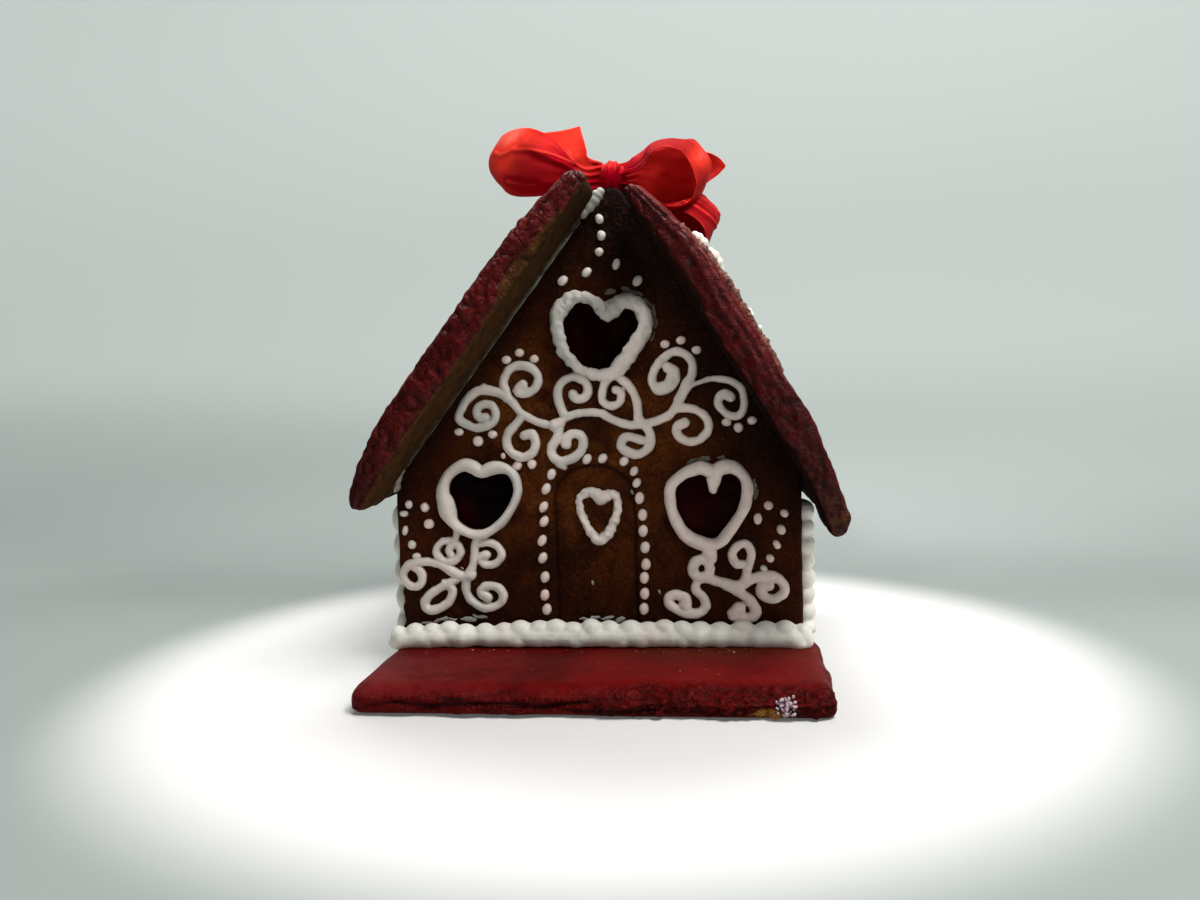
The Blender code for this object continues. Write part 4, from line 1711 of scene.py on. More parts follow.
    def _bare(self, place: Array, out: Array, thick: Array, relief: Relief) -> Array:
        """Where the brush missed: the underside and, high up, a strip of the front edge beside it.

        Args:
            place: points on the panel, in its own directions.
            out: direction out of the surface at each point.
            thick: the panel's thickness at each point.
            relief: noise that shapes it.

        Returns:
            A share for each point.
        """
        under = soft_step(-out[:, 2], 0.35, 0.75)
        high = soft_step(place[:, 0], 78.0, 112.0) * soft_drop(place[:, 0], 126.0, 144.0)
        level = place[:, 2] / thick - 0.03 - 0.26 * high + 0.10 * relief.at(place, 8.0)
        return np.clip(under + 0.9 * soft_drop(level, -0.05, 0.05), 0.0, 1.0)

    def _lip(self, place: Array, thick: Array, relief: Relief) -> Array:
        """Long thin folds where the upper half of the outer edge was rolled over.

        Args:
            place: points on the panel, in its own directions.
            thick: the panel's thickness at each point.
            relief: noise that shapes it.

        Returns:
            A height for each point.
        """
        around = place[:, 2] / thick + (place[:, 1] - self.plan.roof_front).clip(0.0) / 10.0
        drift = relief.at(place, 34.0, (1.0, 9.0, 9.0)) * 0.22 + (place[:, 0] - 100.0) * 0.002
        run = soft_step(place[:, 0], 42.0, 76.0)
        total = np.zeros(len(place))
        for middle, wide, high in ((0.66, 0.09, 0.9), (0.92, 0.10, 1.2), (1.20, 0.10, 1.1),
                                   (1.55, 0.12, 1.0)):
            total += high * hump(around - middle - drift, wide)
        return total * run


# ----- Piped icing -----


@dataclass(frozen=True)
class Stroke:
    """A line of icing piped on the front wall, through (x, z) knots."""

    knots: tuple[tuple[float, float], ...]
    start: float = 1.7
    middle: float = 1.9
    tip: float = 2.1

    def draft(self, face: float) -> Draft:
        """Model the stroke on a wall whose front is at face.

        Args:
            face: depth of the wall's front.

        Returns:
            The stroke.
        """
        count = len(self.knots)
        shares = np.arange(count) / (count - 1)
        widths = np.interp(shares, (0.0, 0.3, 0.8, 1.0), (self.start, self.middle, self.middle, self.tip))
        run = smooth_run(np.column_stack([np.array(self.knots), widths]), 0.7, axes=2)
        wobble = Relief(61).at(np.column_stack([run[:, 0], run[:, 1], run[:, 0]]), 4.0)
        line = upright(run[:, 0], face, run[:, 1])
        line, half = round_ended(line, run[:, 2] * (1 + 0.09 * wobble))
        ahead = lengthwise(line)
        side = upright(-ahead[:, 2], 0.0, ahead[:, 0])
        out = np.zeros_like(line)
        out[:, 1] = -(half * 0.98 + 0.05)
        return tube(line, side * half[:, None], out, turn=12, sink=0.35)


@dataclass(frozen=True)
class Dot:
    """A piped dot on the front wall."""

    x: float
    z: float
    tall: float = 2.25
    wide: float = 1.65
    lean: float = 0.0

    def draft(self, face: float) -> Draft:
        """Model the dot on a wall whose front is at face."""
        return lump((self.x, face - 0.15, self.z), (self.wide, 1.25, self.tall), self.lean, "Y", around=20,
                    rows=12)


@dataclass
class Filigree:
    """Scrolls and dots piped on the front wall."""

    plan: HousePlan
    grain: float = 0.36

    def build(self, finish: Finish, stained: Finish) -> None:
        """Model every group of strokes, melt each into one and dress it.

        Args:
            finish: material of the scrolls.
            stained: material of the dots.
        """
        face = self.plan.front + 0.25
        relief = Relief(62)
        groups = {
            "scroll_upper_left": self._upper_left(),
            "scroll_upper_right": self._upper_right(),
            "spray_lower_left": self._lower_left(),
            "spray_lower_right": self._lower_right(),
        }
        for name, strokes in groups.items():
            skin = Draft.joined(stroke.draft(face) for stroke in strokes).melted(self.grain, 4, 0.5)
            uneven = relief.at(skin.points, 2.6) * 0.20 + relief.at(skin.points, 6.0) * 0.16
            skin.swollen(uneven).edged(self.plan.front).piece(name, finish, "royal_icing")
        dots = Draft.joined(dot.draft(face) for dot in self._dots())
        dots = dots.swollen(relief.at(dots.points, 1.6) * 0.12).edged(self.plan.front, 0.9)
        dots.piece("piped_dots", stained, "royal_icing")

    def _upper_left(self) -> list[Stroke]:
        """Scrolls left of the top heart.

        Returns:
            The strokes.
        """
        return [
            Stroke(((-36, 111.5), (-37.5, 112.8), (-45.5, 115), (-51, 113), (-55, 108), (-56.5, 103.5),
                    (-53.5, 101), (-49, 99.5), (-43, 101), (-41, 105), (-42.5, 108.5), (-46, 109),
                    (-49, 107), (-48.5, 104), (-45.5, 103.8)), 2.3, 1.9, 1.9),
            Stroke(((-47.5, 114.5), (-45.8, 116.5)), 1.7, 1.6, 1.2),
            Stroke(((-36, 111.5), (-37.5, 117), (-36.5, 120.5), (-34, 123.3), (-30, 124.4), (-25.5, 123),
                    (-23, 119), (-24.5, 115), (-28.5, 112.8), (-32, 114), (-29.5, 116.5)), 2.0, 1.95, 2.3),
            Stroke(((-36, 111.5), (-33.5, 109), (-30.5, 105), (-26.5, 102.5), (-22.5, 100.8), (-17.5, 99.5),
                    (-15, 100), (-12.5, 102.3), (-9, 104), (-3, 104.5), (2, 104.2), (4, 103)), 1.9, 1.8, 1.9),
            Stroke(((-17, 99.6), (-14.5, 100.8)), 2.7, 2.8, 2.5),
            Stroke(((-30.5, 103.5), (-33.5, 100), (-36.5, 96.5), (-37, 92.5), (-35, 89), (-30.5, 87),
                    (-26.5, 89), (-25, 93), (-26.5, 96.3), (-29.5, 96)), 1.9, 2.1, 2.3),
            Stroke(((-13, 104), (-15, 109.5), (-15, 114.5), (-12, 118), (-8, 119), (-4, 117), (-2.8, 113.3),
                    (-4.5, 110.5), (-8, 110.3), (-9, 112)), 2.0, 2.0, 2.2),
            Stroke(((-15, 99.5), (-16.2, 94.5), (-18.5, 90.5), (-18, 86.8), (-14.5, 85), (-9.5, 86.5),
                    (-6, 89.8), (-5.8, 94.5), (-9, 96.2), (-12, 94.5), (-12.5, 92)), 2.0, 2.1, 2.4),
            Stroke(((-15.5, 84), (-13.5, 82.6)), 2.0, 1.9, 1.4),
        ]

    def _upper_right(self) -> list[Stroke]:
        """Scrolls right of the top heart, with its two drips.

        Returns:
            The strokes.
        """
        return [
            Stroke(((4, 103), (6, 101.8), (11, 99.8), (15.5, 99), (20.5, 99.5), (26, 101), (30, 103),
                    (32.5, 106.5), (35, 110.5), (37, 114.5), (39, 119), (39, 123.5), (35.8, 127),
                    (31.5, 127.7), (27.5, 125), (24.2, 121), (23, 116.5), (25, 112.8), (29, 113),
                    (32.2, 116.5), (32, 120.5), (29.5, 121.5)),
                   1.8, 1.9, 2.2),
            Stroke(((33.5, 108.5), (37.5, 115.5)), 2.2, 2.8, 2.5),
            Stroke(((26, 113.8), (30, 115.2), (31, 118.5)), 2.0, 2.6, 2.2),
            Stroke(((6.5, 119), (4.5, 117), (3, 113), (3, 109), (6, 107), (9.5, 108), (10.5, 112),
                    (8.3, 113.3)),
                   2.0, 1.8, 1.9),
            Stroke(((9, 119), (13, 115.5), (16, 111), (17, 106.5), (16.8, 101.5)), 2.1, 1.9, 1.9),
            Stroke(((17.2, 101.5), (17.6, 101)), 2.1, 2.2, 2.1),
            Stroke(((18.5, 100), (21, 97), (22, 93.5), (20.5, 89.3), (16.5, 87.2), (11.5, 88.8), (9.8, 91.5),
                    (11.8, 94.3), (15.5, 93.8), (18, 93)), 1.9, 2.1, 2.0),
            Stroke(((31.5, 104.8), (36.5, 105.3), (41, 104), (44.3, 101), (45, 97), (42, 93), (37, 91.8),
                    (33, 94.3), (32.5, 97.8), (35.5, 99.3)), 1.8, 1.9, 2.3),
            Stroke(((39, 114.3), (45, 116.3), (50, 116.5), (55, 115), (58.3, 112), (59.3, 107), (58, 102.5),
                    (54.5, 101.5), (51, 103.5), (48.8, 107.3), (51, 110.5), (53.8, 109.3)), 0.9, 1.7, 2.3),
        ]

    def _lower_left(self) -> list[Stroke]:
        """Spray under the left heart.

        Returns:
            The strokes.
        """
        return [
            Stroke(((-59.5, 57.5), (-60.5, 53.5), (-66, 52.5), (-68.7, 48.5), (-66, 44.8), (-61.5, 44.3),
                    (-58.3, 47.5), (-59.5, 51.5), (-63, 49.5), (-62.5, 46.8)), 1.6, 1.8, 1.8),
            Stroke(((-50.3, 55.5), (-52, 51), (-52.5, 47), (-53.5, 42), (-55.5, 38)), 2.0, 1.9, 2.4),
            Stroke(((-50.5, 51.5), (-46, 52), (-42.3, 50), (-41, 46.5), (-43.5, 43.2), (-48, 42.8),
                    (-50, 45.2), (-47.5, 46.8)), 1.8, 1.8, 2.2),
            Stroke(((-67.5, 43.3), (-62, 40), (-57.5, 37.8), (-54.5, 38.5)), 2.0, 2.3, 2.6),
            Stroke(((-66, 42.8), (-71, 44), (-76, 44), (-80.3, 43), (-83.2, 39.5), (-82, 35.5), (-78.5, 33.5),
                    (-75.5, 35.5), (-75.5, 39.8), (-78.5, 42)), 1.9, 1.95, 1.95),
            Stroke(((-60.5, 36.5), (-66, 34), (-71, 31), (-74.5, 27), (-72.8, 23.8), (-68, 24.5), (-63.5, 28),
                    (-62.5, 32.5), (-65.5, 35)), 1.8, 2.1, 2.0),
            Stroke(((-56, 37.5), (-56.5, 31), (-53.5, 27), (-48.5, 24.5), (-43, 26), (-41, 29.5), (-43, 33),
                    (-47.5, 33.8), (-50.5, 31.3), (-47.5, 29)), 2.1, 1.95, 2.4),
        ]

    def _lower_right(self) -> list[Stroke]:
        """Spray under the right heart, its knob and the drip in its notch.

        Returns:
            The strokes.
        """
        return [
            Stroke(((44.2, 48.6), (44.6, 44.6)), 3.5, 3.2, 2.8),
            Stroke(((44.6, 40.5), (42.5, 44), (38.7, 43.2), (37.4, 39.7), (39.2, 37), (42.7, 37),
                    (44.3, 39.5)),
                   2.2, 2.3, 2.2),
            Stroke(((43, 36.5), (48.5, 34.8), (54, 33.5), (57, 33.5), (60, 35.5), (64, 37), (69, 37.3),
                    (73, 34.5), (73.5, 30.5), (69.5, 27.8), (65.2, 29.3), (64.8, 33), (67.5, 33.3)), 2.3,
                   2.15, 2.4),
            Stroke(((57, 33.5), (58.5, 36.5), (59.5, 41), (61, 46), (59.3, 50), (56, 49.8), (53.3, 46.2),
                    (54.8, 42.3), (57.5, 42)), 2.2, 1.9, 1.9),
            Stroke(((39.5, 36), (38.3, 32), (41.3, 28.7), (42.3, 25), (39.5, 22.2), (34.5, 22.2),
                    (29.8, 24.2), (27.2, 27.4), (30, 29.8), (34.3, 28), (34, 25.3)), 1.8, 2.2, 2.8),
            Stroke(((51, 33.5), (57.5, 29.5), (61.3, 25.5), (62.3, 21.5), (58.5, 20), (53, 21), (55.5, 24)),
                   2.3, 2.3, 2.9),
            Stroke(((47.0, 79.6), (46.8, 76.4), (46.3, 72.4)), 3.3, 3.0, 1.9),
        ]

    def _dots(self) -> list[Dot]:
        """All the dots.

        Returns:
            The dots.
        """
        rows = [Dot(x, z, 2.5, 1.8, 30.0) for x, z in (
            (-19.0, 79.8), (-21.4, 73.9), (-22.7, 66.4), (-22.7, 60.4), (-23.8, 52.5), (-23.8, 45.3))]
        rows += [Dot(x, z, 2.45, 1.95, 14.0) for x, z in ((-23.2, 37.3), (-23.5, 29.8), (-22.8, 23.8))]
        rows += [Dot(x, z, 2.15, 1.6, 34.0) for x, z in ((14.8, 80.4), (15.8, 75.6))]
        rows += [Dot(x, z, 2.5, 1.95, 8.0) for x, z in (
            (16.7, 69.4), (17.8, 62.5), (17.8, 56.0), (18.4, 49.2), (18.6, 42.3), (17.8, 36.8), (17.7, 30.2),
            (17.3, 23.9))]
        rows += [Dot(-4.2, 85.7, 2.3, 1.75, 34.0), Dot(2.3, 85.8, 2.2, 1.75, 40.0),
                 Dot(10.9, 84.5, 2.1, 1.8, 40.0), Dot(-26.9, 84.1, 2.1, 2.0),
                 Dot(-33.0, 83.6, 2.1, 1.9, 60.0), Dot(-38.7, 87.8, 1.3, 1.1)]
        rows += [Dot(3.8, 181.2, 2.0, 1.7, -20.0), Dot(4.4, 174.7, 2.0, 1.8, 0.0),
                 Dot(3.3, 168.3, 1.8, 1.7, 60.0), Dot(10.0, 163.2, 2.3, 1.6, 20.0),
                 Dot(-1.9, 160.5, 2.3, 1.7, 50.0), Dot(-11.7, 157.6, 2.3, 1.8, 50.0),
                 Dot(18.3, 156.3, 2.4, 1.8, 35.0)]
        rows += [Dot(x, z, 1.7, 2.0) for x, z in (
            (-35.8, 126.8), (-30.4, 129.5), (-24.4, 126.8), (28.6, 130.9), (34.9, 132.2), (40.9, 128.1),
            (-56.8, 98.0), (-42.8, 96.6), (52.2, 99.2), (62.2, 99.6))]
        rows += [Dot(-49.0, 94.0, 2.2, 2.3), Dot(56.8, 97.0, 2.0, 1.9)]
        rows += [Dot(-79.5, 68.3, 1.8, 1.6), Dot(-81.8, 64.5, 1.3, 1.9), Dot(-72.7, 67.0, 2.0, 1.9, -20.0),
                 Dot(-71.2, 60.1, 2.1, 2.3), Dot(-81.6, 57.4, 2.1, 1.3, 12.0),
                 Dot(-78.9, 51.4, 1.9, 1.8, -20.0), Dot(-77.2, 46.3, 1.7, 1.9)]
        rows += [Dot(68.1, 65.6, 1.9, 1.8), Dot(63.8, 60.3, 2.4, 1.7), Dot(74.2, 62.4, 1.8, 1.6, -35.0),
                 Dot(72.9, 55.8, 2.1, 1.8, -20.0), Dot(71.0, 49.8, 2.0, 1.5, -30.0),
                 Dot(68.3, 44.3, 1.8, 1.6, -30.0), Dot(65.8, 40.1, 1.7, 1.4, -30.0)]
        return rows


@dataclass
class HeartFrames:
    """Hearts piped round the windows and on the door."""

    plan: HousePlan

    def build(self, finish: Finish) -> None:
        """Model the four hearts and dress them.

        Args:
            finish: material of the piece.
        """
        for label, heart, height, ruffle, pitch in (
                ("top", TOP_HEART, 3.4, 1.10, 2.9), ("left", LEFT_HEART, 3.3, 0.28, 6.0),
                ("right", RIGHT_HEART, 3.3, 0.46, 5.5), ("door", DOOR_HEART, 2.6, 0.85, 2.2)):
            self._heart(finish, label, heart, height, ruffle, pitch)

    def _heart(self, finish: Finish, label: str, heart: Array, height: float, ruffle: float,
               pitch: float) -> None:
        """Model one heart.

        Args:
            finish: material of the piece.
            label: which heart.
            heart: knots of its line, with half its width.
            height: how far it stands off the wall.
            ruffle: height of its folds.
            pitch: size of one fold.
        """
        run = smooth_run(heart, 0.45, closed=True, axes=2)
        ahead = lengthwise(run[:, :2], closed=True)
        line = upright(run[:, 0], self.plan.front - 0.1, run[:, 1])
        side = upright(-ahead[:, 1], 0.0, ahead[:, 0]) * run[:, 2:3] * 0.97
        out = np.zeros_like(line)
        out[:, 1] = -height * (0.72 + 0.09 * run[:, 2])
        ring = tube(line, side, out, closed=True, turn=26, sink=0.12)
        relief = Relief(70 + len(label))
        folds = relief.at(ring.points, pitch) * 0.7 + relief.at(ring.points, pitch / 2) * 0.35
        swell = ruffle * folds
        if label == "top":
            groove = hump(self._across(ring.points, run), 0.22, 0.15)
            swell -= 0.42 * groove * (0.6 + 0.4 * relief.at(ring.points, 7.0))
        ring.swollen(swell).edged(self.plan.front, 1.9 if label in ("top", "door") else 1.3).piece(
            "heart_" + label, finish, "royal_icing", ["frame_" + label])

    def _across(self, points: Array, run: Array) -> Array:
        """Where a point lies across the stroke, from -1 inside to 1 outside.

        Args:
            points: places, in millimetres.
            run: points of the stroke, with its half width.

        Returns:
            One value for each point.
        """
        flat = points[:, [0, 2]]
        away = gap_to(flat, run[:, :2])
        return np.where(inside_outline(flat, run[:, :2]), -away, away) / 3.0


class Rope(Enum):
    """Ways a piped rope can run."""

    ALONG_X = 0
    ALONG_Y = 1
    ALONG_Z = 2


@dataclass
class Ropes:
    """Shell borders round the foot, up the corners and along the ridge."""

    plan: HousePlan
    grain: float = 0.55
    first_seed: int = 91
    plain: tuple[tuple[str, Rope, float], ...] = (
        ("icing_base_back", Rope.ALONG_X, 8.0),
        ("icing_base_left", Rope.ALONG_Y, 7.6),
        ("icing_base_right", Rope.ALONG_Y, 7.6),
        ("icing_corner_front_left", Rope.ALONG_Z, 10.4),
        ("icing_corner_front_right", Rope.ALONG_Z, 7.2),
        ("icing_corner_back_left", Rope.ALONG_Z, 8.4),
        ("icing_corner_back_right", Rope.ALONG_Z, 8.4),
        ("icing_ridge", Rope.ALONG_Y, 9.0))

    def build(self, finish: Finish) -> None:
        """Model every rope and dress it.

        Args:
            finish: material of the piece.
        """
        self._front(finish)
        for seed, (node, way, pitch) in enumerate(self.plain, self.first_seed):
            self._plain(node, way, pitch, seed, finish)

    def _plain(self, node: str, way: Rope, pitch: float, seed: int, finish: Finish) -> None:
        """Model a rope of even shells inside a frame node's box.

        Args:
            node: frame node whose box it fills.
            way: way that it runs.
            pitch: length of one shell.
            seed: number that picks the random draws.
            finish: material of the piece.
        """
        low, high = (np.array(corner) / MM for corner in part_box(node))
        if node.startswith("icing_corner_front"):
            side = math.copysign(1.0, low[0])
            low, high = low + (min(side, 0.0) * 2.7, -6.0, 0.0), high + (max(side, 0.0) * 2.7, 0.0, -1.6)
        source = np.random.default_rng(seed)
        middle, half = (low + high) / 2, (high - low) / 2
        axis = way.value
        count = max(2, round((high[axis] - low[axis]) / pitch))
        step = (high[axis] - low[axis]) / count
        shells = []
        for k in range(count):
            centre = middle.copy()
            centre[axis] = low[axis] + step * (k + 0.5)
            radii = half * source.uniform(0.86, 0.99, 3)
            radii[axis] = step * source.uniform(0.60, 0.68)
            shells.append(lump(centre, radii, source.uniform(-14, 14), "XYX"[axis]))
            neck = centre.copy()
            neck[axis] = min(neck[axis] + step * 0.5, high[axis] - step * 0.4)
            core = half * 0.66
            core[axis] = step * 0.6
            shells.append(lump(neck, core))
        Draft.joined(shells).melted(self.grain, 3, 0.45).piece("piped_" + node[6:], finish, "royal_icing",
                                                               [node])

    def _front(self, finish: Finish) -> None:
        """Model the front rope, whose domes run down into a smooth foot.

        Args:
            finish: material of the piece.
        """
        low, high = (np.array(corner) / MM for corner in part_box("icing_base_front"))
        source = np.random.default_rng(90)
        domes = (-84.0, -77.4, -70.3, -63.4, -56.3, -48.0, -40.0, -33.6, -25.6, -18.8, -11.6, -3.6, 3.2,
                 11.4, 18.8, 25.6, 32.6, 39.4, 47.6, 56.6, 65.6, 73.4, 80.6)
        middle_y = (low[1] + high[1]) / 2
        shells = []
        for k, x in enumerate(domes):
            drop = 2.4 * (abs(x) / 86.0) ** 6
            wide = 3.9 if k in (0, len(domes) - 1) else source.uniform(4.8, 6.0)
            centre = (x, middle_y + source.uniform(-0.4, 0.4), 15.3 - drop + source.uniform(-0.8, 0.8))
            shells.append(lump(centre, (wide, 4.2, source.uniform(4.5, 5.6)), source.uniform(-38, -4)))
            foot = (x + source.uniform(-3.0, 2.0), middle_y - source.uniform(0.6, 2.0), 12.7 - 0.6 * drop)
            shells.append(lump(foot, (source.uniform(4.0, 6.5), 3.4, source.uniform(2.6, 3.2)),
                               source.uniform(-8, 8)))
        run = np.arange(domes[0], domes[-1], 1.0)
        wave = Relief(91).at(np.column_stack([run, run * 0, run * 0]), 6.0)
        line = np.column_stack([run, middle_y - 0.6 - 0.4 * wave, 14.0 - 1.4 * (np.abs(run) / 86.0) ** 6])
        side = np.outer(1 + 0.14 * wave, (0.0, 4.6, 0.0))
        shells.append(tube(line, side, np.outer(1 + 0.14 * wave, (0.0, 0.0, 4.1))))
        Draft.joined(shells).melted(0.5, 9, 0.5).piece("piped_base_front", finish, "royal_icing",
                                                       ["icing_base_front"])


@dataclass
class SeamIcing:
    """Icing that shows where the roof meets the wall, smears on the wall, and lumps on the roof."""

    plan: HousePlan
    panel: RoofPanel

    def build(self, finish: Finish, dull: Finish, smear: Finish, dried: Finish) -> None:
        """Model the pieces and dress them.

        Args:
            finish: material of the lumps on the roof.
            dull: material of the mass at the seams.
            smear: material of the smears.
            dried: material of the thin line under the left roof.
        """
        blobs = []
        for x, y, z, wide, tall in (
            (5.4, -36.8, 190.6, 1.7, 1.3), (3.8, -37.0, 189.2, 2.4, 1.9), (2.2, -37.4, 187.2, 2.9, 2.5),
            (0.6, -37.6, 184.9, 2.5, 2.6), (-1.2, -37.4, 182.4, 1.5, 2.1),
            (-80.0, -34.0, 85.6, 1.0, 2.0), (-81.2, -34.0, 82.4, 1.3, 2.3), (-82.6, -33.5, 79.0, 1.4, 2.4),
            (-83.6, -33.0, 75.6, 1.3, 2.2)):
            blobs.append(lump((x, y, z), (wide, 2.4, tall), 26.0))
        mass = Draft.joined(blobs).melted(0.35, 8, 0.5)
        mass = mass.swollen(Relief(135).at(mass.points, 3.2) * 0.36)
        mass.traits["thin"] = 0.42 + 0.50 * soft_drop(mass.points[:, 2], 183.5, 190.0)
        mass.piece("seam_icing", dull, "royal_icing")
        x = np.arange(-78.0, -3.0, 0.8)
        spots = np.column_stack([x, x * 0, x * 0])
        wander, swell = Relief(136).at(spots, 9.0), Relief(137).at(spots, 4.0)
        size = (0.36 + 0.42 * swell) * (0.35 + 0.65 * soft_step(x, -60.0, -24.0))
        line = np.column_stack([x, self.plan.front - 3.4 - 1.3 * wander,
                                self.plan.underside(x, Side.LEFT) - 0.1])
        drop = np.outer(size.clip(0.05), (0.55, 0.0, -0.75))
        tube(line, np.outer(size.clip(0.05), (0.0, 1.9, 0.0)), drop).piece("seam_line", dried, "royal_icing")
        self._roof_lumps(finish)
        self._smears(smear)

    def _roof_lumps(self, finish: Finish) -> None:
        """White lumps on the right roof's outer face near its front.

        Args:
            finish: material of the piece.
        """
        lumps = []
        for place, deep, size, lift in ((120.5, 7.6, 1.4, 3.5), (118.4, 7.4, 2.0, 4.2),
                                        (115.8, 7.6, 2.1, 4.4), (112.0, 7.4, 1.7, 4.1),
                                        (109.6, 7.2, 2.4, 4.7), (107.0, 7.6, 2.2, 4.5),
                                        (104.8, 7.8, 1.5, 3.6), (86.2, 5.6, 1.4, 3.6), (84.6, 5.4, 1.1, 3.3),
                                        (79.0, 5.0, 1.1, 3.3)):
            lumps.append(self._on_roof(place, deep, size, lift))
        Draft.joined(lumps).melted(0.42, 5, 0.5).piece("roof_icing", finish, "royal_icing")

    def roof_crust(self, finish: Finish) -> None:
        """Brown crumbly ridge on the right roof's outer face, in front of the white lumps.

        Args:
            finish: material of the piece.
        """
        source = np.random.default_rng(133)
        lumps = []
        for place in np.arange(62.0, 126.0, 1.9):
            tall = 1.5 + 1.5 * math.sin(math.pi * min(1.0, max(0.0, (place - 62.0) / 62.0)))
            lumps.append(self._on_roof(place, source.uniform(3.4, 5.6), source.uniform(1.4, 2.0),
                                       tall * source.uniform(0.8, 1.1)))
        crust = Draft.joined(lumps).melted(0.5, 2, 0.4)
        rough = Relief(134).crust(crust.points, 2.4, 2)
        crust = crust.swollen((rough - 0.5) * 0.6)
        zero = np.zeros(len(crust.points))
        crust.traits = {"relief": rough, "coarse": zero + 0.8, "bloom": zero, "bare": zero, "torn": zero,
                        "pale": zero,
                        "hidden": zero}
        crust.piece("roof_crust", finish, "red_gingerbread")

    def _on_roof(self, place: float, deep: float, size: float, lift: float) -> Draft:
        """One lump standing on the right panel's outer face.

        Args:
            place: distance up the slope.
            deep: distance behind the roof's front.
            size: half size of the lump.
            lift: how far its top stands off the roof.

        Returns:
            The lump.
        """
        thick = float(self.panel.thickness(np.array([place]))[0])
        spot = self.panel.to_frame(np.array([[place, self.plan.roof_front + deep, thick + lift - size]]))[0]
        return lump(spot, (size * 0.9, size * 1.2, size * 1.25), 30.0)

    def _smears(self, finish: Finish) -> None:
        """Thin smears and flecks of icing on the front wall.

        Args:
            finish: material of the piece.
        """
        source = np.random.default_rng(131)
        rows = []
        for x, z, wide in ((-73.0, 19.0, 3.6), (-68.5, 20.2, 4.0), (-63.5, 20.8, 3.0), (-56.0, 20.6, 3.2),
                           (-51.0, 21.6, 3.0), (-7.0, 20.4, 2.2), (-3.0, 21.0, 2.6), (2.0, 20.9, 2.4),
                           (7.5, 20.2, 2.0)):
            rows.append(lump((x, self.plan.front + 0.02, z - 0.8), (wide, 0.32, source.uniform(0.5, 1.0)),
                             source.uniform(-16, 16)))
        for x, z in ((-3.5, 35.0), (24.0, 31.0), (13.5, 72.0), (-58.5, 41.0), (62.5, 74.0)):
            rows.append(lump((x, self.plan.front, z), (0.45, 0.5, 0.9), source.uniform(-60, 60), around=8,
                             rows=6))
        smears = Draft.joined(rows)
        smears.points[:, 2] += Relief(132).at(smears.points, 2.2) * 0.7
        smears.points[:, 0] += Relief(138).at(smears.points, 3.0) * 0.9
        smears.piece("wall_smears", finish, "royal_icing")

    def halo(self, finish: Finish) -> None:
        """Thin dried icing dragged out round two of the hearts.

        Args:
            finish: material of the piece.
        """
        source = np.random.default_rng(139)
        rows = []
        for x, z, lean in ((8.0, 152.4, -8.0), (13.8, 153.0, 5.0), (18.6, 151.0, 32.0), (21.8, 148.2, 52.0),
                           (24.6, 144.2, 75.0), (25.1, 139.4, 95.0), (23.5, 134.0, 112.0),
                           (38.4, 84.0, -20.0), (43.5, 85.2, -5.0), (50.5, 85.0, 6.0), (55.8, 82.8, 32.0),
                           (62.4, 74.2, 78.0), (63.0, 70.2, 95.0)):
            for _ in range(2):
                wide, tall = source.uniform(1.8, 2.8), source.uniform(0.5, 0.9)
                spot = (x + source.uniform(-0.7, 0.7), self.plan.front + 0.02, z + source.uniform(-0.5, 0.5))
                rows.append(lump(spot, (wide, 0.34, tall), lean + source.uniform(-12.0, 12.0)))
        halo = Draft.joined(rows)
        halo.points[:, 2] += Relief(140).at(halo.points, 2.0) * 0.7
        halo.points[:, 0] += Relief(141).at(halo.points, 2.4) * 0.7
        halo.piece("heart_smears", finish, "royal_icing")


# ----- Bow -----


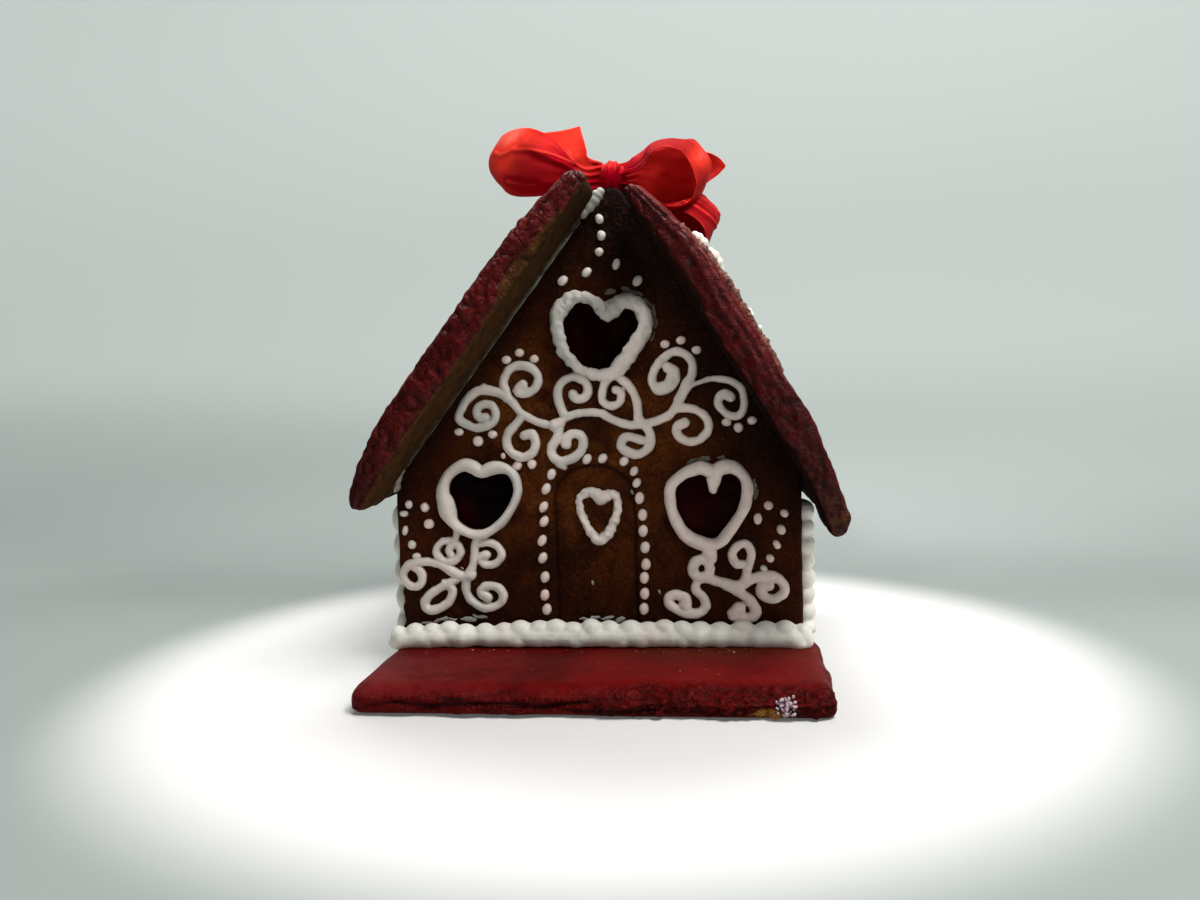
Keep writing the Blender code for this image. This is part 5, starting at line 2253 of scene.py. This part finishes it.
@dataclass
class Ribbon:
    """A run of satin ribbon between two rims, placed from the middle of the knot."""

    near: Rim
    far: Rim
    bulge: float = 2.0
    creases: tuple[Mark, ...] = ()
    pleats: float = 0.8
    folds: int = 4
    crumple: float = 0.6
    cut_end: bool = False
    tone: float = 0.5
    # inner darkens one face and lit adds patches: painted shade and painted highlights.
    inner: float = 0.0
    lit: tuple[Mark, ...] = ()
    ridges: tuple[tuple[tuple[float, float], ...], ...] = ()
    ridge_depth: float = 2.0
    thickness: float = 0.35

    def draft(self, centre: Array, seed: int, rows: int = 40) -> Draft:
        """Model the ribbon.

        Args:
            centre: middle of the bow's knot.
            seed: picks its creases.
            rows: points from rim to rim.

        Returns:
            The closed ribbon.
        """
        near, far = self._paired()
        count = len(near)
        across = np.linspace(0.0, 1.0, rows)
        along = np.linspace(0.0, 1.0, count)
        surface = near[:, None, :] * (1 - across)[None, :, None] + far[:, None, :] * across[None, :, None]
        ahead = lengthwise((near + far) / 2)
        spread = far - near
        spread /= np.maximum(np.linalg.norm(spread, axis=1, keepdims=True), 1e-9)
        out = np.cross(ahead, spread)
        out /= np.maximum(np.linalg.norm(out, axis=1, keepdims=True), 1e-9)
        to_knot = along if self.cut_end else np.minimum(along, 1 - along)
        gather = hump(to_knot, 0.16)[:, None]
        turn = np.clip(to_knot * (1.0 if self.cut_end else 2.0), 0, 0.5)
        open_part = (1 - gather) * np.sin(math.pi * turn)[:, None] ** 0.5
        relief = Relief(seed)
        flat = surface.reshape(-1, 3)
        long_folds = relief.at(flat, 7.0, (2.2, 1.2, 0.8)).reshape(count, rows)
        small = relief.at(flat, 3.2, (2.2, 1.0, 1.0)).reshape(count, rows)
        wave = np.cos(2 * math.pi * self.folds * across)[None, :]
        lift = self.bulge * np.sin(math.pi * across)[None, :] * open_part
        lift = lift + self.pleats * gather * wave
        lift = lift + (1 - 0.6 * gather) * self.crumple * (long_folds * 1.6 + small * 0.5)
        fold = np.zeros((count, rows))
        for line, slant, high, start, stop in self.creases:
            span = soft_step(along, start, start + 0.08) * soft_drop(along, stop - 0.08, stop)
            course = line + slant * (along - (start + stop) / 2) + 0.03 * np.sin(along * 23.0)
            aside = across[None, :] - course[:, None]
            edge = np.where(aside > 0, np.exp(-aside / 0.16), hump(aside, 0.05)) * span[:, None]
            lift = lift + high * edge
            fold = np.maximum(fold, hump(aside, 0.06, -0.07) * span[:, None])
        away = np.full((count, rows), 99.0)
        for ridge in self.ridges:
            run = smooth_run(np.array(ridge), 1.0, axes=2)
            away = np.minimum(away, gap_to(flat[:, [0, 2]], run, False).reshape(count, rows))
        seen = surface[:, :, 1] < self.ridge_depth
        pinched, beside = hump(away, 0.6) * seen, hump(away, 2.0) * seen
        lift = lift + math.copysign(0.55, self.bulge) * pinched
        from_edge = np.minimum(across, 1 - across)[None, :] * np.linalg.norm(far - near, axis=1)[:, None]
        # Paler line along each edge: a woven selvedge and a painted rim highlight.
        selvedge_and_highlight = hump(from_edge, 0.6) * (1 - gather)
        surface = surface + out[:, None, :] * lift[:, :, None]
        draft = self._skin(surface, out)
        step = np.linalg.norm(np.diff((near + far) / 2, axis=0), axis=1)
        lengths = np.repeat(np.concatenate([[0.0], np.cumsum(step)])[:, None], rows, axis=1)
        # Painted light and shade: darker in the creases, the gathers, beside pinched ridges and on the inner
        # face; painted highlights on the ridges and in the lit patches.
        shade = self.tone - 0.12 * fold - 0.25 * gather * (1 - wave) / 2 + 0.60 * pinched - 0.30 * beside
        shade = shade + 0.12 * selvedge_and_highlight
        for place, level, reach, width, amount in self.lit:
            spot = hump(along, reach, place)[:, None] * hump(across, width, level)[None, :]
            shade = shade + amount * spot
        sides = [shade - max(-self.inner, 0.0), shade - max(self.inner, 0.0)]
        draft.traits = {"along": np.tile(lengths.ravel(), 2),
                        "tone": np.clip(np.array(sides).ravel(), 0.0, 1.4)}
        draft.points = draft.points + centre
        return draft

    def _paired(self) -> tuple[Array, Array]:
        """Both rims as smooth lines with the same number of points.

        Returns:
            Points of the near rim and of the far rim.
        """
        both = np.hstack([np.array(self.near), np.array(self.far)])
        run = smooth_run(both, 0.7, axes=6)
        return run[:, :3], run[:, 3:]

    def _skin(self, surface: Array, out: Array) -> Draft:
        """Give a sheet two faces and a rim.

        Args:
            surface: grid of points.
            out: direction out of the surface at each point.

        Returns:
            The ribbon with its thickness.
        """
        long, wide = surface.shape[:2]
        offset = out[:, None, :] * self.thickness / 2
        points = np.vstack([(surface + offset).reshape(-1, 3), (surface - offset).reshape(-1, 3)])
        upper = np.arange(long * wide).reshape(long, wide)
        lower = upper + long * wide
        faces = quads(upper) + quads(lower, True)
        for a, b in ((upper[0], lower[0]), (lower[-1], upper[-1]), (lower[:, 0], upper[:, 0]),
                     (upper[:, -1], lower[:, -1])):
            faces += quads(np.stack([a, b]))
        return Draft(points, faces)

    def cut(self) -> Spot:
        """Width, length and area that it was cut to, in metres; it tapers where it is gathered.

        Returns:
            Width, length and area.
        """
        near, far = self._paired()
        widths = np.linalg.norm(far - near, axis=1)
        steps = np.linalg.norm(np.diff((near + far) / 2, axis=0), axis=1)
        area = float(((widths[1:] + widths[:-1]) / 2 * steps).sum())
        return float(widths.max()) * MM, float(steps.sum()) * MM, area * MM * MM


@dataclass
class Bow:
    """Satin bow on the ridge just behind the front gable."""

    knot_half: Spot = (5.9, 8.6, 7.2)

    def build(self, finish: Finish) -> None:
        """Model the knot, the loops, the ends and the strap through the ridge, and dress them.

        Args:
            finish: material of the piece.
        """
        low, high = (np.array(corner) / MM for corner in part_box("bow_knot"))
        centre = (low + high) / 2
        self._knot(centre).piece("satin_knot", finish, "satin_ribbon", ["bow_knot"])
        runs = {
            "loop_left": (self._loop_left(), 51, ["bow_loop_left"]),
            "loop_right": (self._loop_right(), 52, ["bow_loop_right"]),
            "loop_behind": (self._loop_behind(), 56, []),
            "tail_right": (self._tail_right(), 53, ["bow_tail_right"]),
            "tail_behind": (self._tail_behind(), 57, []),
            "tail_left": (self._tail_left(), 54, ["bow_tail_left"]),
            "strap": (self._strap(), 58, []),
        }
        for name, (ribbon, seed, nodes) in runs.items():
            item = ribbon.draft(centre, seed).piece("satin_" + name, finish, "satin_ribbon", nodes)
            width, length, area = ribbon.cut()

    def _loop_left(self) -> Ribbon:
        """Puffed loop on the left, creased from its hollow to the knot.

        Returns:
            The run of ribbon.
        """
        return Ribbon(
            near=((-3, -5, -7), (-8.5, -5.5, -7), (-14, -9, -6), (-18, -11, -6), (-22.5, -12, -8),
                  (-26.5, -12, -9), (-32, -10.5, -8.8), (-38, -7, -7.6), (-42.5, -3, -5), (-46.5, 2, -0.5),
                  (-49, 8, 2.5), (-49, 13, 4), (-45, 16, 3.5), (-36.5, 14, 0), (-26, 10, 0), (-16, 6, 0.5),
                  (-8, 4, -2), (-3, 3, -3)),
            far=((-3, -5, 3.5), (-9, -6, 2.6), (-14, -9, 4.8), (-17.5, -11, 8.5), (-21, -12, 12.5),
                 (-25.5, -12, 15.6), (-30.5, -10.5, 17.8), (-35.5, -7, 18.9), (-40.5, -4, 18.6),
                 (-45.2, 1, 17.6), (-47.8, 8, 16.2), (-48, 13, 16.2), (-44.5, 16, 18), (-35, 14, 19),
                 (-24.5, 10, 15), (-16, 6, 8.5), (-8, 4, 4), (-3, 3, 4)),
            bulge=-3.4, pleats=0.4, crumple=0.25, tone=0.36, inner=-0.2,
            creases=((0.60, 1.1, -1.3, 0.06, 0.31), (0.84, -1.8, -0.9, 0.33, 0.42),
                     (0.24, 0.5, -0.6, 0.12, 0.42)),
            lit=((0.36, 0.98, 0.08, 0.30, 0.85), (0.43, 0.80, 0.07, 0.40, 0.42),
                 (0.05, 0.15, 0.06, 0.35, -0.5), (0.38, 0.40, 0.06, 0.22, 0.28),
                 (0.24, 0.72, 0.07, 0.10, 0.12), (0.18, 0.10, 0.20, 0.25, -0.12),
                 (0.06, 0.85, 0.05, 0.3, 0.35), (0.30, 0.95, 0.10, 0.15, 0.25)),
            ridges=(((-43.6, 11.0), (-41.5, 9.3), (-38.5, 9.3), (-35.0, 10.9)),
                    ((-36.5, 9.9), (-30.0, 8.6), (-22.0, 6.2), (-14.5, 3.2)),
                    ((-28.5, 18.0), (-21.0, 13.7), (-16.0, 9.5), (-12.3, 5.6)),
                    ((-40.0, -1.5), (-34.0, -4.0), (-28.0, -5.2))))

    def _loop_right(self) -> Ribbon:
        """Open loop on the right, turned so that its hollow shows.

        Returns:
            The run of ribbon.
        """
        return Ribbon(
            near=((3, -6, -2), (7, -7, -1), (11.5, -9.5, -1.2), (15, -12, 1), (16.7, -13, 4),
                  (19.5, -13, 6.1), (22.6, -13, 6.6), (26, -13, 6), (29.5, -12, 4.2), (32, -11, 1),
                  (33.6, -10, -2.5), (34.5, -10, -6.3), (34, -10, -9.6), (32.4, -11, -13),
                  (29.5, -12, -15.2), (25.5, -13, -16.2), (21, -13, -15.2), (17, -12, -12.6), (12.5, -9, -9),
                  (7.5, -7, -5), (3, -6, -4)),
            far=((3, 3, 4.6), (6.8, 3, 5.3), (8.8, 4, 7), (12.5, 6, 10), (16.5, 8, 13.4), (20, 9, 15),
                 (24.5, 10, 15.7), (30, 11, 15.4), (34.2, 12, 15.3), (38, 12, 10.8), (40.5, 12, 6.5),
                 (41, 12, 2), (38.7, 11, -2.3), (37, 11, -6), (33.5, 10, -9.5), (29, 9, -12), (24, 8, -13.2),
                 (19.5, 8, -11.5), (14, 7, -8), (7.5, 5, -5), (3, 3, -4)),
            bulge=0.9, pleats=0.5, crumple=0.22, tone=0.30, inner=0.18,
            creases=((0.40, 0.9, 0.6, 0.05, 0.26), (0.50, -1.4, 0.8, 0.34, 0.50)),
            lit=((0.43, 0.55, 0.05, 0.60, 0.90), (0.56, 0.80, 0.08, 0.30, 0.25),
                 (0.03, 0.15, 0.06, 0.35, -0.35), (0.96, 0.50, 0.10, 1.00, -0.40),
                 (0.74, 0.05, 0.10, 0.25, -0.30)),
            ridges=(((30.5, 13.5), (35.9, 9.3), (38.5, 5.5), (39.5, 0.0)),))

    def _loop_behind(self) -> Ribbon:
        """Second loop behind the right one, whose corner shows beyond it.

        Returns:
            The run of ribbon.
        """
        return Ribbon(
            near=((3, 6, -3), (6.5, 8, -3), (11, 11, -4), (16.5, 13, -8), (22, 14, -11), (27.5, 15, -11),
                  (33, 15, -7.5), (37.5, 15.5, -2.8), (40.5, 16, -0.5), (43.5, 16, 1.5), (46, 16, 3.9)),
            far=((3, 6, 4), (6.5, 8, 5), (11.5, 11, 9), (17, 13, 12), (22.5, 14, 13.5), (28, 15, 13.8),
                 (34, 15, 13), (38.5, 15.5, 11), (41.5, 16, 10), (44.5, 16, 8), (46.7, 16, 5.2)),
            bulge=-1.5, pleats=0.5, crumple=0.3, cut_end=True, tone=0.40, lit=((0.98, 0.9, 0.10, 0.5, 0.35),))

    def _tail_right(self) -> Ribbon:
        """Rolled end under the right loop.

        Returns:
            The run of ribbon.
        """
        return Ribbon(
            near=((8, -3, -6), (12.5, -3, -10), (16.5, -3.5, -14.5), (20, -5, -17.5), (23, -6, -18.6),
                  (26, -7, -17.9), (29.5, -8, -17.6), (33, -8, -19.4), (35.5, -8, -22), (37, -8, -25.5),
                  (37, -7, -29), (35, -6, -32), (32, -5, -33.5), (28, -4, -33)),
            far=((8, 4, -4), (12.5, 5, -7), (17.5, 6, -9.5), (23.5, 8, -10), (29.5, 10, -8.5), (34, 11, -7.6),
                 (37, 12, -7), (40.2, 12, -10.5), (43, 12, -13.8), (43.5, 12, -17.5), (41.2, 12, -21),
                 (40, 12, -24.5), (37.5, 11, -28.5), (33.5, 10, -30)),
            bulge=0.8, pleats=0.3, crumple=0.25, cut_end=True, tone=0.34, inner=0.30,
            creases=((0.55, 0.5, 0.5, 0.25, 0.75),),
            lit=((0.42, 0.6, 0.10, 0.4, 0.50), (0.62, 0.9, 0.08, 0.3, 0.3)),
            ridges=(((29.0, -12.6), (33.5, -14.6), (37.5, -17.6), (41.5, -21.4)),
                    ((34.5, -9.0), (38.5, -12.0), (41.5, -14.0), (44.0, -15.8))), ridge_depth=20.0)

    def _tail_behind(self) -> Ribbon:
        """Back of the rolled end, seen through it.

        Returns:
            The run of ribbon.
        """
        return Ribbon(
            near=((16, 11, -18), (19, 12, -21), (23.5, 13, -26), (27, 14, -29), (30.5, 14, -30.5),
                  (34, 14, -31), (36.5, 14, -30)),
            far=((18, 11, -13), (22, 12, -12), (26, 13, -11.5), (30, 14, -11.5), (34.5, 14, -13),
                 (38, 14, -16.5), (40, 14, -20)),
            # Its low level is painted shade behind the rolled end.
            bulge=-1.2, pleats=0.2, crumple=0.3, tone=0.12)

    def _tail_left(self) -> Ribbon:
        """Cut end standing behind the left loop.

        Returns:
            The run of ribbon.
        """
        return Ribbon(
            near=((-3, -1, -1), (-10.5, -1, 0.6), (-16, 1, 4), (-21, 3, 9), (-25, 4, 14), (-28, 5, 19.8)),
            far=((-3, -1, 5.2), (-8.6, -1, 7.4), (-9.6, 1, 11), (-10.6, 3, 14.8), (-11.6, 4, 18.4),
                 (-12.4, 5, 21.6)),
            bulge=1.0, creases=((0.30, 0.5, 0.5, 0.10, 0.75),), pleats=0.5, folds=3, crumple=0.25,
            cut_end=True,
            tone=0.72, lit=((0.85, 0.9, 0.30, 0.6, 0.22), (0.05, 0.5, 0.12, 1.0, -0.45),
                            (0.45, 0.3, 0.12, 0.3, -0.15)))

    def _strap(self) -> Ribbon:
        """Ribbon that runs down from the knot between the roof panels.

        Returns:
            The run of ribbon.
        """
        return Ribbon(
            near=((-4, -1, -3), (-4.5, 0, -6), (-5, 0.1, -9), (-5.5, 0.1, -13)),
            far=((4, -1, -3), (5.6, 0, -6), (7.6, 0.1, -9), (9.4, 0.1, -13)),
            # Its low level is painted shade under the knot.
            bulge=0.0, pleats=0.25, folds=3, crumple=0.05, cut_end=True, tone=0.02)

    def _knot(self, centre: Array) -> Draft:
        """The band wrapped round the middle, creased from front to back.

        Args:
            centre: middle of the knot.

        Returns:
            The knot.
        """
        ball = lump((0.6, 0.0, -1.6), self.knot_half, around=110, rows=70)
        relief = Relief(55)
        x = ball.points[:, 0] + relief.at(ball.points, 9.0) * 0.9
        creases = 0.6 * np.cos(x * 2.3) + 0.4 * np.cos(x * 4.6 + 1.0)
        fold = relief.at(ball.points, 5.0, (0.6, 2.0, 2.0))
        rolled = ball.swollen(0.40 * creases + 0.35 * fold)
        # Painted shade in the creases and towards the bottom of the knot, and painted light towards its top.
        shade = np.clip(0.06 + 0.26 * creases + 0.13 * ball.points[:, 2], 0.0, 1.0)
        return Draft(rolled.points + centre, rolled.faces, {"along": ball.points[:, 2], "tone": shade})


# ----- Studio -----


@dataclass(frozen=True)
class Lamp:
    """A soft square light, in metres, watts and degrees."""

    name: str
    place: Spot
    aim: Spot
    size: float
    power: float
    colour: Colour = EVEN
    spread: float = 180.0

    def hang(self) -> None:
        """Hang it and point it at its aim."""
        lamp = bpy.data.lights.new(self.name, "AREA")
        lamp.shape = "SQUARE"
        lamp.size = self.size
        lamp.energy = self.power
        lamp.color = self.colour
        lamp.spread = math.radians(self.spread)
        item = bpy.data.objects.new(self.name, lamp)
        item.location = self.place
        item.rotation_euler = (Vector(self.aim) - Vector(self.place)).to_track_quat("-Z", "Y").to_euler()
        bpy.context.scene.collection.objects.link(item)


@dataclass
class Studio:
    """Plain sweep, soft lights and the camera."""

    lamps: tuple[Lamp, ...] = (
        Lamp("key", (0.45, -0.30, 1.00), (0.0, 0.0, 0.08), 0.50, 15.5, (1.0, 1.0, 0.98)),
        Lamp("behind", (-0.10, 0.48, 0.92), (0.0, 0.0, 0.12), 0.55, 20.0),
        Lamp("low_right", (0.85, -1.05, 0.20), (-0.02, 0.0, 0.10), 0.7, 2.4, (1.0, 0.99, 0.98)),
        Lamp("fill", (0.30, -1.35, 0.50), (0.0, 0.0, 0.10), 0.9, 0.9, (1.0, 0.99, 0.98)),
        Lamp("bow_glow", (-0.30, -0.42, 0.62), (-0.034, -0.02, 0.226), 0.15, 0.05, spread=17.0))
    room_colour: Colour = (0.95, 1.0, 0.98)
    room_light: float = 0.05
    floor_end: float = 170.0
    curve: float = 260.0
    top: float = 1500.0
    half_width: float = 2200.0
    reach: float = 9000.0
    eye: Spot = (0.0418, -0.3919, 0.1160)
    turn: float = 6.41
    tilt: float = 85.79
    roll: float = -1.77
    lens: float = 27.0
    sensor: float = 36.0
    nearest: float = 0.01

    def build(self, paper: Finish, wall: Finish) -> None:
        """Set up the sweep, the room, the lights and the camera.

        Args:
            paper: material of the sweep.
            wall: material of the room.
        """
        self._sweep(paper)
        self._room(wall)
        self._lights()
        self._camera()

    def _staged(self, name: str, points: Array, faces: list[tuple[int, ...]],
                finish: Finish) -> bpy.types.Object:
        """Make a part of the studio, which isn't part of the house.

        Args:
            name: name of the object.
            points: places, in millimetres.
            faces: faces, as point numbers.
            finish: its material.

        Returns:
            The object.
        """
        mesh = bpy.data.meshes.new(name)
        mesh.from_pydata((points * MM).tolist(), [], faces)
        mesh.shade_smooth()
        mesh.materials.append(finish.material())
        item = bpy.data.objects.new(name, mesh)
        bpy.context.scene.collection.objects.link(item)
        return item

    def _sweep(self, paper: Finish) -> None:
        """Paper that runs flat under the house and curves up behind it.

        Args:
            paper: its material.
        """
        profile = [(-900.0, 0.0), (-300.0, 0.0), (90.0, 0.0), (self.floor_end, 0.0)]
        for angle in np.linspace(0.0, math.pi / 2, 14)[1:]:
            profile.append((self.floor_end + self.curve * math.sin(angle),
                            self.curve * (1 - math.cos(angle))))
        profile.append((self.floor_end + self.curve, self.top))
        xs = np.linspace(-self.half_width, self.half_width, 5)
        grid = np.array([[(x, y, z - 0.05) for y, z in profile] for x in xs])
        ids = np.arange(grid.shape[0] * grid.shape[1]).reshape(grid.shape[:2])
        sweep = self._staged("paper_sweep", grid.reshape(-1, 3), quads(ids), paper)

    def _room(self, wall: Finish) -> None:
        """Round wall of the room far beyond the sweep, which gives no light and takes none.

        Args:
            wall: its material.
        """
        ball = lump((0.0, 0.0, 0.0), (self.reach, self.reach, self.reach), around=48, rows=24)
        room = self._staged("room_wall", ball.points, ball.faces, wall)
        room.visible_diffuse = room.visible_glossy = room.visible_transmission = room.visible_shadow = False

    def _lights(self) -> None:
        """Broad light from above, before and behind the house, and a little from the front."""
        for lamp in self.lamps:
            lamp.hang()
        world = bpy.data.worlds.new("room")
        world.use_nodes = True
        world.node_tree.nodes["Background"].inputs["Color"].default_value = (*self.room_colour, 1.0)
        world.node_tree.nodes["Background"].inputs["Strength"].default_value = self.room_light
        bpy.context.scene.world = world

    def _camera(self) -> None:
        """Place the camera."""
        lens = bpy.data.cameras.new("camera")
        lens.lens = self.lens
        lens.sensor_width = self.sensor
        lens.clip_start = self.nearest
        item = bpy.data.objects.new("camera", lens)
        item.matrix_world = (Matrix.Translation(self.eye) @ Matrix.Rotation(math.radians(self.turn), 4, "Z")
                             @ Matrix.Rotation(math.radians(self.tilt), 4, "X")
                             @ Matrix.Rotation(math.radians(self.roll), 4, "Z"))
        bpy.context.scene.collection.objects.link(item)
        bpy.context.scene.camera = item
        bpy.context.scene.view_settings.view_transform = "Standard"


def main() -> None:
    """Build the house, its trimmings and the studio."""
    logging.basicConfig(level=logging.INFO, format="%(name)s %(message)s")
    plan = HousePlan.measured()
    brown, icing, satin = BrownGingerbread(), RoyalIcing(), Satin()
    board_red = RedGingerbread(deep=(0.062, 0.0011, 0.0010), bright=(0.130, 0.0026, 0.0028),
                               bloom=(0.150, 0.014, 0.016), crumb=(0.120, 0.018, 0.010), shine=0.0)
    left_red = RedGingerbread(deep=(0.064, 0.0026, 0.0024), bright=(0.150, 0.0058, 0.0058),
                              crumb=(0.18, 0.046, 0.032), shine=0.14)
    # The right panel's bare underside and its joint line are near black: painted shade under the right roof.
    right_red = RedGingerbread(deep=(0.046, 0.0006, 0.0009), bright=(0.108, 0.0017, 0.0020),
                               crumb=(0.230, 0.050, 0.034), bare=(0.012, 0.0036, 0.0018),
                               pale=(0.012, 0.004, 0.003), shine=0.17)
    crust_red = RedGingerbread(deep=(0.17, 0.070, 0.052), bright=(0.29, 0.135, 0.105),
                               pit=(0.06, 0.018, 0.012))
    left = RoofPanel(plan, Side.LEFT, eave=0.0, ridge=152.5, middle=13.2, eave_end=4.4, ridge_end=7.5,
                     eave_reach=42.0, ridge_reach=42.0)
    right = RoofPanel(plan, Side.RIGHT, eave=2.0, ridge=149.8, middle=12.5, eave_end=3.6, ridge_end=5.0,
                      eave_reach=46.0, ridge_reach=42.0, droop=4.2, droop_reach=17.0, rough=1.5, rolled=True)
    Studio().build(Backdrop(), FarWall())
    Board().build(board_red)
    Scatter().build(Sugar(), Crumb())
    Walls(plan).build(brown)
    Panes().build(CandyGlass())
    left.build(left_red)
    right.build(right_red)
    # The piped icing's pink is paler than its white, so its shift to pink on the right is also painted light.
    piped = RoyalIcing(white=(0.585, 0.555, 0.51), pink=(0.86, 0.725, 0.65), blush=0.7)
    HeartFrames(plan).build(piped)
    Filigree(plan).build(piped, RoyalIcing(white=(0.78, 0.69, 0.63), pink=(0.88, 0.67, 0.60), stain=0.9,
                                           blush=0.5))
    Ropes(plan).build(icing)
    seams = SeamIcing(plan, right)
    seams.roof_crust(crust_red)
    seams.build(icing, RoyalIcing(white=(0.33, 0.33, 0.30), pink=(0.28, 0.26, 0.225)),
                RoyalIcing(white=(0.30, 0.30, 0.27), pink=(0.26, 0.24, 0.21)),
                RoyalIcing(white=(0.17, 0.17, 0.12), pink=(0.10, 0.085, 0.05), stain=1.0))
    seams.halo(RoyalIcing(white=(0.12, 0.10, 0.075), pink=(0.085, 0.06, 0.04), grey=(0.17, 0.15, 0.12),
                          stain=1.0))
    Bow().build(satin)


if __name__ == "__main__":
    main()
